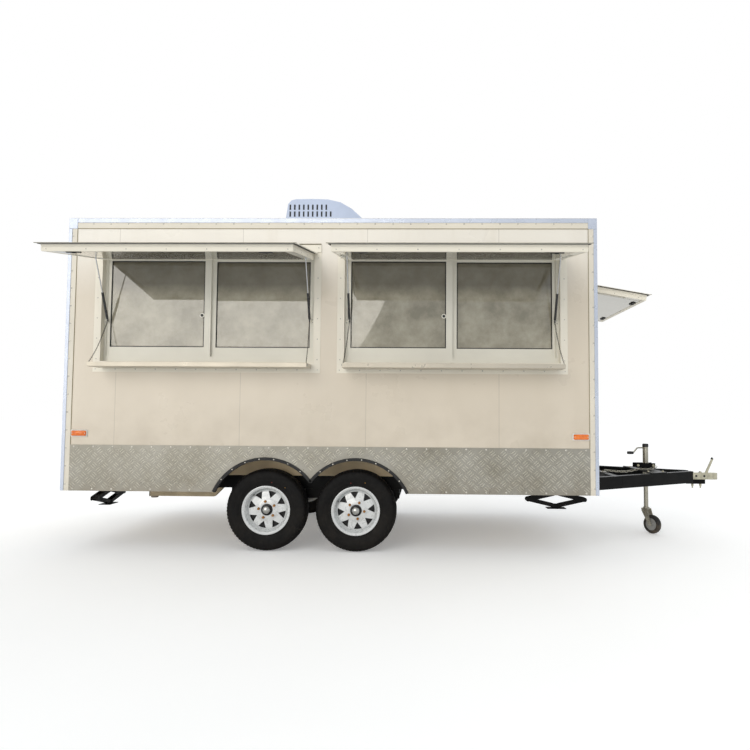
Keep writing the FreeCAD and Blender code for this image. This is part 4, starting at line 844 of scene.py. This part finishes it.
# ---- serving openings and flaps
SERVING = {"wide": 1.621, "sill": 1.412, "head": 2.234, "reach": 0.805, "low": 0.508}
OPENINGS = {
    "rear": {"x": 1.0725, **SERVING},
    "forward": {"x": 2.9185, **SERVING},
    "nose": {"x": None, "wide": 1.22, "sill": 1.56, "head": 2.094, "reach": 0.51, "low": 0.33},
}
HINGE_OUT, HINGE_UP, OPEN = 0.01, 0.004, radians(80)


def wall_place(hole):
    """Maps along, inward and height of an opening's frame to the row frame."""
    if hole["x"] is None:
        return lambda p: at(LONG - p[1], p[0], p[2])
    return lambda p: at(hole["x"] + p[0], -HALF + p[1], p[2])


def flap_place(hole):
    """Maps along, inward and up of a closed flap, from its hinge, to where the open flap is."""
    wall = wall_place(hole)

    def place(p):
        y = p[1] * cos(OPEN) + p[2] * sin(OPEN)
        z = -p[1] * sin(OPEN) + p[2] * cos(OPEN)
        return wall((p[0], y - HINGE_OUT, hole["head"] + HINGE_UP + z))
    return place


def border(u0, u1, z0, z1, wide, gap=0):
    """Corners of four strips round a rectangle, the uprights short of its ends by a gap."""
    return (((u0, z0), (u1, z0 + wide)), ((u0, z1 - wide), (u1, z1)),
            ((u0, z0 + gap), (u0 + wide, z1 - gap)), ((u1 - wide, z0 + gap), (u1, z1 - gap)))


def opening_details(name, hole):
    """Screws of the opening's trims, rubbers round the glass, the sash latch and the line over the hinge."""
    half, sill, head = hole["wide"] / 2, hole["sill"], hole["head"]
    p = Piece(f"{name}_opening_screws", "rivet", place=wall_place(hole))
    low = sill - 0.079
    for x in spaced(-half - 0.03, half + 0.03, 0.15):
        p.dome((x, -SKIN, low + 0.022), (0, -1, 0), 0.005, 0.002)
        p.dome((x, -0.012, head + 0.045), (0, -1, 0), 0.0055, 0.0025)
    for z in spaced(low + 0.1, head - 0.03, 0.15):
        for side in (-1, 1):
            p.dome((side * (half + 0.027), -SKIN, z), (0, -1, 0), 0.005, 0.002)
    p.done()
    g = Piece(f"{name}_window_gaskets", "gasket", place=wall_place(hole))
    z0, z1 = sill + SKIN + 0.042 + 0.072, head - SKIN - 0.018 - 0.02
    outer = half - SKIN - 0.018 - 0.024
    for hand, y in ((-1, 0.056), (1, 0.082)):
        u0, u1 = sorted((hand * 0.041, hand * outer))
        for a, b in border(u0, u1, z0, z1, 0.007):
            g.block((a[0], y + 0.004, a[1]), (b[0], y + 0.0082, b[1]), 0.001)
    g.done()
    h = Piece(f"{name}_sash_latches", "sash", place=wall_place(hole))
    middle = (sill + head) / 2 - 0.05
    h.ring([(0.011, 0), (0.018, 0), (0.018, 0.003), (0.011, 0.003)], (-0.058, 0.053, middle), (0, 1, 0), 24)
    h.paint("plastic").plug([(0.011, 0), (0.011, 0.002)], (-0.058, 0.054, middle), (0, 1, 0), 20)
    h.done()
    s = Piece(f"{name}_hinge_line", "olive", place=wall_place(hole))
    s.block((-half - 0.05, -0.0135, head + 0.068), (half + 0.05, -0.0118, head + 0.076), 0.0006)
    s.done()


def flap_details(name, hole):
    """Edge channel, lining, screws, seal and latches of a flap."""
    body = f"{name}_flap"
    half, reach = hole["wide"] / 2 - 0.01, hole["reach"]
    wide = half + 0.03
    place = flap_place(hole)
    skin = 0.01 - SKIN - 0.005 - SKIN          # outer face of the skin, inward from the hinge axis
    back = skin + SKIN + 0.046
    e = Piece(f"{body}_edges", "edge", body, place)
    grow = 0.003
    # two lips round the panel's edge, with a groove between them
    for y0, y1 in ((skin + SKIN, skin + SKIN + 0.016), (skin + SKIN + 0.02, back + 0.002)):
        e.block((-half - grow, y0, -reach - grow), (half + grow, y1, -reach + 0.001), 0.001)
        for side in (-1, 1):
            e.block((side * (half - 0.001), y0, -reach), (side * (half + grow), y1, -0.013), 0.001)
    e.paint("olive").block((-wide - 0.001, skin - 0.0015, -reach - 0.032),
                           (wide + 0.001, skin + 0.0015, -reach - 0.022), 0.0006)
    e.done()
    u = Piece(f"{body}_lining", "under", body, place)
    inner = half - 0.06
    u.block((-inner, back, -reach + 0.03), (inner, back + 0.0015, -0.035), 0.0006)
    for z0, z1 in ((-reach + 0.001, -reach + 0.028), (-0.033, -0.013)):
        u.paint("edge").block((-half + 0.001, back, z0), (half - 0.001, back + 0.003, z1), 0.001)
    u.done()
    s = Piece(f"{body}_screws", "rivet", body, place)
    for x in spaced(-half + 0.03, half - 0.03, 0.25):
        s.dome((x, skin + SKIN + 0.034, -reach - 0.003), (0, 0, -1), 0.0045, 0.002)
        s.dome((x, skin, -reach + 0.02), (0, -1, 0), 0.0045, 0.002)
        s.dome((x, skin, -0.03), (0, -1, 0), 0.0045, 0.002)
    for z in spaced(-reach + 0.06, -0.06, 0.2):
        for side in (-1, 1):
            s.dome((side * (half + 0.003), skin + SKIN + 0.034, z), (side, 0, 0), 0.0045, 0.002)
            s.dome((side * (half - 0.01), skin, z), (0, -1, 0), 0.0045, 0.002)
    s.done()
    k = Piece(f"{body}_seal", "gasket", body, place)
    edge, foot, face = half + 0.018, -reach - 0.018, skin + SKIN
    k.block((-edge, face, foot), (edge, face + 0.0035, foot + 0.012), 0.001)
    for side in (-1, 1):
        k.block((side * (edge - 0.012), face, foot), (side * edge, face + 0.0035, -0.03), 0.001)
    for side in (-1, 1):
        x = side * (half - 0.18)
        k.paint("plastic").block((x - 0.045, back + 0.001, -reach + 0.032),
                                (x + 0.045, back + 0.009, -reach + 0.062), 0.002)
        k.ring([(0.009, 0), (0.013, 0), (0.013, 0.004), (0.009, 0.004)], (x, back + 0.008, -reach + 0.047),
               (0, 1, 0), 20)
        k.paint("gasket")
    k.done()


def strut_details(name, hole):
    """End fittings at a strut's lower pin, on the window frame."""
    half = hole["wide"] / 2
    z = hole["head"] + HINGE_UP - hole["low"]
    p = Piece(f"{name}_strut_fittings", "fitting", place=wall_place(hole))
    for side in (-1, 1):
        for dz in (-0.01, 0.01):
            p.dome((side * (half - 0.018), 0.044, z + dz), (0, -1, 0), 0.004, 0.002)
        p.lathe([(0, 0), (0.0085, 0), (0.0085, 0.0012), (0.006, 0.003), (0, 0.0035)],
                (side * (half - 0.042), 0.028, z), (-side, 0, 0), 12)
    p.done()


for name, hole in OPENINGS.items():
    opening_details(name, hole)
    flap_details(name, hole)
    strut_details(name, hole)


# ---- shelves and their chains
SHELF_DEEP = 0.19


def links(p, path, long, wide, bar):
    """Chain links along a path, each turned a quarter from the last."""
    path = [Vector(q) for q in path]
    away = [0]
    for a, b in zip(path, path[1:]):
        away.append(away[-1] + (b - a).length)
    count = max(2, round(away[-1] / (long - 2 * bar)))
    for i in range(count):
        want = away[-1] * (i + 0.5) / count
        k = next(j for j in range(1, len(away)) if away[j] >= want)
        along = (path[k] - path[k - 1]).normalized()
        centre = path[k - 1] + along * (want - away[k - 1])
        side = along.orthogonal().normalized()
        other = along.cross(side)
        across = side if i % 2 else other
        straight, bend, oval = (long - wide) / 2, (wide - bar) / 2, []
        for j in range(12):
            a = 2 * pi * j / 12
            shift = straight if cos(a) >= 0 else -straight
            oval.append(centre + along * (bend * cos(a) + shift) + across * bend * sin(a))
        p.tube(oval, bar / 2, 6, closed=True)


def shelf_chains(name, hole):
    """A thin chain from each strut's lower bracket to the shelf's outer corner."""
    half, z = hole["wide"] / 2, hole["head"] + HINGE_UP - hole["low"]
    for hand, side in (("rear", -1), ("fore", 1)):
        start = Vector((side * (half - 0.0385), 0.024, z - 0.012))
        end = Vector((side * 0.79, -0.017 - SHELF_DEEP + 0.012, hole["sill"] - 0.018))
        path = [start.lerp(end, i / 16) - Vector((0, 0, 0.03 * sin(pi * i / 16))) for i in range(17)]
        c = Piece(f"{name}_shelf_chain_{hand}", "chain", None, wall_place(hole))
        links(c, path, 0.016, 0.009, 0.0022)
        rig.blend(c.done(), "trailer", f"{name}_shelf", c.place(start), c.place(end))


def shelf_details(name, hole):
    """Turned-down lips of a shelf and the screws that hold its chains."""
    place = wall_place(hole)
    top, half, out = hole["sill"] - 0.02, 0.795, 0.017
    p = Piece(f"{name}_shelf_edges", "shelf", f"{name}_shelf", place, slot="shelf_steel")
    p.block((-half - 0.001, -out - SHELF_DEEP - 0.0015, top - 0.0315),
            (half + 0.001, -out - SHELF_DEEP + 0.0005, top + 0.001), 0.0008)
    for side in (-1, 1):
        p.block((side * (half - 0.0005), -out - SHELF_DEEP - 0.001, top - 0.0315),
                (side * (half + 0.0015), -out - 0.008, top + 0.001), 0.0008)
        p.paint("fitting").plug([(0.008, 0), (0.008, 0.003), (0.005, 0.005)],
                                    (side * (half + 0.0015), -out - SHELF_DEEP + 0.015, top - 0.012), (side,
                                                            0, 0), 12)
        p.paint("shelf")
    p.done()


for name in ("rear", "forward"):
    shelf_details(name, OPENINGS[name])
    shelf_chains(name, OPENINGS[name])


# ---- lamps, plate and door
def lamps():
    """Amber side markers and split red and amber rear lamps."""
    p = Piece("lamp_set", "white_plastic", slot="amber", smooth=45)
    for side in (-1, 1):
        face = side * HALF
        for x0 in (0.068, 3.812):
            p.paint("white_plastic").block((x0 - 0.004, face, 0.844),
                                    (x0 + 0.124, face + side * 0.007, 0.897), 0.003)
            p.paint("amber").block((x0 + 0.004, face + side * 0.006, 0.851),
                                   (x0 + 0.116, face + side * 0.0185, 0.89), 0.006)
            for dx in (0.012, 0.108):
                p.paint("rivet").dome((x0 + dx, face + side * 0.0183, 0.8705), (0, side, 0), 0.0035, 0.0012)
        lo, hi = sorted((side * 0.81, side * 0.93))
        p.paint("plastic").block((-0.0205, lo, 0.693), (-SKIN, hi, 0.777), 0.004)
        p.paint("red").block((-0.0228, lo + 0.006, 0.699), (-0.015, (lo + hi) / 2 - 0.001, 0.771), 0.002)
        p.paint("amber").block((-0.0228, (lo + hi) / 2 + 0.001, 0.699), (-0.015, hi - 0.006, 0.771), 0.002)
    p.done("lamps")


lamps()


def rear_details():
    """Blank number plate with its lamp, and the door's border, handle and lock."""
    p = Piece("rear_plate", "plate")
    p.block((-0.0065, 0.47, 0.6), (-SKIN, 0.79, 0.7), 0.002)
    p.paint("plastic").block((-0.024, 0.6, 0.705), (-SKIN, 0.66, 0.722), 0.003)
    p.done()
    d = Piece("door_fittings", "sash", "entry_door")
    for a, b in border(-0.377, 0.374, 0.598, 2.382, 0.035, 0.036):
        d.block((-0.0025, a[0], a[1]), (0.0005, b[0], b[1]), 0.001)
    d.paint("plastic").block((-0.006, -0.352, 1.4), (0, -0.3, 1.58), 0.004)
    d.paint("cap").plug([(0.011, 0), (0.011, 0.003), (0.009, 0.005)], (-0.006, -0.326, 1.425), (-1, 0, 0), 16)
    d.done()


rear_details()


# ---- roof unit
def roof_unit():
    """Moulded air conditioner with rows of slots in its sides."""
    low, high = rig.box("air_conditioner")
    low, high = low + BALL, high + BALL
    x0, x1, y0, y1, z0, z1 = low.x, high.x, low.y, high.y, low.z, high.z
    deep, long, middle = z1 - z0, x1 - x0, (x0 + x1) / 2
    # outline in the x-z plane: upright back, flat top, sloping curved front
    shape = [(x0, z0 + 0.02), (x0 + 0.012, z0 + deep * 0.55), (x0 + 0.03, z1 - 0.045),
             (x0 + 0.06, z1 - 0.012),
             (x0 + 0.1, z1 - 0.002)]
    shape += [(x0 + long * share, z1 - drop) for share, drop in
              ((0.3, 0), (0.48, 0.004), (0.62, 0.03), (0.74, 0.085), (0.85, 0.165), (0.94, 0.25))]
    shape += [(x0 + long * 0.985, z0 + 0.06), (x1, z0 + 0.02)]
    # the shell's bluish colour is painted sky light on a white unit
    p = Piece("air_conditioner_shown", "unit", slot="unit_white", smooth=50)
    sections = [(y0, -0.055), (y0 + 0.004, -0.022), (y0 + 0.02, -0.006), (y0 + 0.06, 0)]
    sections += [(-y, inset) for y, inset in reversed(sections)]
    points, n = [], len(shape) + 2
    for y, inset in sections:
        points.append((x0 - inset * 0.4, y, z0))
        points += [(middle + (x - middle) * (1 + inset * 0.6), y, z0 + (z - z0) * (1 + inset * 0.9))
                   for x, z in shape]
        points.append((x1 + inset * 0.4, y, z0))
    last = (len(sections) - 1) * n
    p.add(points, quads(len(sections), n) + [list(range(n))[::-1], list(range(last, last + n))])
    p.done("air_conditioner", bevel=0.006)
    s = Piece("air_conditioner_slots", "slot", smooth=30)
    pitch, wide, high_slot = 0.039, 0.0135, 0.046
    for side in (-1, 1):
        y = -side * y0
        for row, count in enumerate((9, 10, 10, 10)):
            zc = z1 - 0.082 - row * 0.06
            for k in range(count):
                xc = x0 + 0.055 + k * pitch
                s.block((xc - wide / 2, y, zc - high_slot / 2),
                        (xc + wide / 2, y + side * 0.0015, zc + high_slot / 2),
                        0.0007)
    s.done()
    b = Piece("air_conditioner_base", "plastic")
    b.block((x0 + 0.02, y0 + 0.02, z0 - 0.001), (x1 - 0.02, y1 - 0.02, z0 + 0.012), 0.003)
    b.done()


roof_unit()


# ---- drawbar fittings
def coupler_details():
    """Washers and bolt heads of the coupler and the tip of its lever."""
    p = Piece("coupler_details", "plastic", smooth=40)
    for x in (5.13, 5.2):
        for side in (-1, 1):
            p.plug([(0.01, 0), (0.01, 0.0006)], (x, side * 0.037, 0.502), (0, side, 0), 18)
    p.paint("zinc")
    for x in (5.11, 5.18):
        p.plug([(0.015, 0), (0.015, 0.002), (0.0105, 0.002), (0.0105, 0.011), (0.009, 0.012)], (x, 0, 0.529),
               (0, 0, 1), 6)
    p.paint("plastic").tube([(5.283, 0, 0.648), (5.287, 0, 0.655), (5.291, 0, 0.657)], 0.0105, 12)
    p.done()


def jockey_tube():
    """Outer tube with its cap, collar and crank, on a plate clamped and bolted to the drawbar."""
    bore, low, radius, top = 0.01905, 0.405, 0.024, 0.76
    plate_low, plate_top = 0.5465, 0.554
    centre, up = (JOCKEY_X, 0, 0), (0, 0, 1)
    j = Piece("jockey_tube", "zinc", slot="zinc", smooth=40)
    j.ring([(bore, low), (radius - 0.0005, low), (radius, low + 0.002), (radius, top), (bore, top)], centre,
           up, 40)
    j.paint("plastic").ring([(0.0242, 0.752), (0.0262, 0.754), (0.0262, 0.774), (0.022, 0.7815),
                            (0.0004, 0.782),
                                (0.0004, 0.7735), (0.0242, 0.7735)], centre, up, 36)
    j.paint("zinc").ring([(0.0238, 0.606), (0.0275, 0.607), (0.0275, 0.613), (0.0238, 0.614)], centre, up, 36)
    j.tube([(4.68, 0, 0.745), (4.64, 0, 0.745), (4.627, 0, 0.742), (4.596, 0, 0.705), (4.588, 0, 0.7),
            (4.56, 0, 0.7)], 0.0065, 12)
    j.paint("plastic").lathe([(0, 0), (0.011, 0), (0.0125, 0.004), (0.0135, 0.024), (0.0125, 0.048),
                            (0.01, 0.054), (0, 0.0545)],
                                (4.54, 0, 0.7), (1, 0, 0), 20)
    j.paint("black")

    def edge(x):
        """Half width of the plate, which narrows with the drawbar."""
        return 0.375 - 0.099 * (x - 4.62) / 0.16

    near, far = JOCKEY_X - radius, JOCKEY_X + radius
    for x0, x1 in ((4.62, near), (far, 4.78)):
        j.prism([(x0, -edge(x0)), (x1, -edge(x1)), (x1, edge(x1)), (x0, edge(x0))], plate_low, plate_top,
                "xy")
    for sy in (-1, 1):
        j.prism([(near, sy * radius), (far, sy * radius), (far, sy * edge(far)), (near, sy * edge(near))],
                plate_low, plate_top, "xy")
    for x in (4.662, 4.732):
        j.block((x, -0.04, plate_top), (x + 0.006, 0.04, 0.599), 0.002)
    for sy in (-1, 1):
        j.block((4.6, sy * 0.04, 0.57), (4.77, sy * 0.047, 0.612), 0.008)
    j.ring([(0.0245, 0.56), (0.033, 0.56), (0.033, 0.604), (0.0245, 0.604)], centre, up, 36)
    j.paint("yellow_zinc")
    for sx in (-1, 1):
        for sy in (-1, 1):
            j.lathe([(0, 0), (0.011, 0), (0.011, 0.0015), (0.0085, 0.0015), (0.0085, 0.008), (0, 0.009)],
                    (JOCKEY_X + sx * 0.062, sy * 0.235, plate_top), up, 6)
        j.lathe([(0, 0), (0.012, 0), (0.012, 0.002), (0.009, 0.002), (0.009, 0.009), (0, 0.01)],
                (4.685 + sx * 0.066, -0.047, 0.591), (0, -1, 0), 6)
    j.done("jockey_tube")


def jockey_wheel():
    """Rubber tyre and moulded hub, about the joint's own axis."""
    w = Piece("jockey_wheel_shown", "castor", "jockey_wheel", place=lambda q: Vector(q),
              slot="castor_rubber", smooth=45)
    axle = next(k for k in frame["joints"] if k["name"] == "jockey_wheel_spin")
    centre, axis = Vector(axle["pos_m"]), Vector(axle["axis"])
    w.ring(mirrored([(0.052, 0.021), (0.072, 0.021), (0.0775, 0.017), (0.08, 0.011)]), centre, axis, 56)
    hub = mirrored([(0.0065, 0.023), (0.022, 0.023), (0.024, 0.017), (0.05, 0.015), (0.053, 0.02)])
    w.paint("castor_hub").ring(hub, centre, axis, 40)
    w.done("jockey_wheel")


coupler_details()
jockey_tube()
jockey_wheel()


def tongue_chain():
    """A bright chain from the cross bar to the jockey wheel's clamp."""
    c = Piece("tongue_chain", "zinc")
    path = [(4.285, -0.115, 0.545), (4.305, -0.112, 0.553), (4.36, -0.105, 0.548), (4.43, -0.095, 0.541),
            (4.5, -0.09, 0.541),
            (4.56, -0.085, 0.55), (4.61, -0.08, 0.563), (4.65, -0.075, 0.562), (4.7, -0.07, 0.561), (4.745,
                                    -0.07, 0.568), (4.775, -0.06, 0.586)]
    links(c, path, 0.034, 0.021, 0.0055)
    c.block((4.272, -0.135, 0.5365), (4.318, -0.095, 0.5405), 0.001)
    c.done()


tongue_chain()


def drain_cap():
    """Round screwed cap under the drain duct's rear end, and the duct's end flange."""
    p = Piece("drain_cap", "pipe")
    p.plug([(0.024, 0), (0.0285, 0.003), (0.0285, 0.013), (0.027, 0.0145)], (0.555, -0.62, 0.3475),
           (0, 0, 1), 28)
    p.block((0.521, -0.653, 0.359), (0.53, -0.587, 0.44), 0.002)
    p.paint("plastic").plug([(0.03, 0), (0.034, 0.004), (0.034, 0.03)], (0.905, -0.7, 0.424), (0, 0, 1), 24)
    p.done()


drain_cap()


# ---- floor, light and camera
def world():
    """Even light on the object; white where the camera looks at the world or through glass."""
    made = bpy.data.worlds.new("studio")
    bpy.context.scene.world = made
    made.use_nodes = True
    tree = made.node_tree
    tree.nodes.clear()
    out, choose, path, either = (tree.nodes.new(f"ShaderNode{kind}")
                                 for kind in ("OutputWorld", "MixShader", "LightPath", "Math"))
    either.operation = "MAXIMUM"
    for place, (tint, strength) in enumerate((((0.94, 0.97, 1.0, 1), AMBIENT), ((1, 1, 1, 1), 1.0)), 1):
        light = tree.nodes.new("ShaderNodeBackground")
        light.inputs["Color"].default_value = tint
        light.inputs["Strength"].default_value = strength
        tree.links.new(light.outputs[0], choose.inputs[place])
    tree.links.new(path.outputs["Is Camera Ray"], either.inputs[0])
    tree.links.new(path.outputs["Is Transmission Ray"], either.inputs[1])
    tree.links.new(either.outputs[0], choose.inputs[0])
    tree.links.new(choose.outputs[0], out.inputs["Surface"])


def suns():
    for name, angle, strength, tint, direction in SUNS:
        lamp = bpy.data.lights.new(name, "SUN")
        lamp.energy, lamp.angle, lamp.color = strength, radians(angle), tint
        thing = placed(name, lamp)
        thing.rotation_mode = "QUATERNION"
        thing.rotation_quaternion = Vector(direction).to_track_quat("-Z", "Y")


def studio_floor():
    """White floor that keeps the object's shadow, lifted a little for the camera alone."""
    mesh = bpy.data.meshes.new("floor")
    size, z = FLOOR_HALF, -BALL.z
    mesh.from_pydata([(-size, -size, z), (size, -size, z), (size, size, z), (-size, size, z)], [],
                     [(0, 1, 2, 3)])
    g = Graph("studio_floor")
    seen = g.node("ShaderNodeLightPath")
    tone = g.mix(g.ramp(g.noise(0.6, 2), 0.3, 0.7), colour(246, 246, 245), colour(250, 250, 249))
    g.look(Base_Color=tone, Roughness=0.9, Specular_IOR_Level=0.1, Emission_Color=(1, 1, 1, 1),
           Emission_Strength=g.maths("MULTIPLY", seen.outputs["Is Camera Ray"], FLOOR_LIFT))
    mesh.materials.append(g.material)
    floor = placed("studio_floor", mesh)
    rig.stage(floor)


def photographer():
    """The camera: a wide lens low in front of the serving side, tilted up a little."""
    data = bpy.data.cameras.new("camera")
    data.sensor_width, data.lens = 36.0, LENS
    data.shift_x, data.shift_y = SHIFT
    camera = placed("camera", data)
    camera.location = at(*EYE)
    turn = Matrix.Identity(4)
    for angle, axis in ((PAN, "Z"), (TILT, "X"), (ROLL, "Z")):
        turn = turn @ Matrix.Rotation(radians(angle), 4, axis)
    camera.rotation_mode = "QUATERNION"
    camera.rotation_quaternion = turn.to_quaternion()
    bpy.context.scene.camera = camera


world()
suns()
studio_floor()
photographer()
bpy.context.scene.view_settings.view_transform = "Standard"

seen_low, seen_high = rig.bounds()
with open("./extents.json", "w") as out:
    json.dump({"cad": [list(cad_low), list(cad_high)], "visual": [list(seen_low), list(seen_high)]}, out)
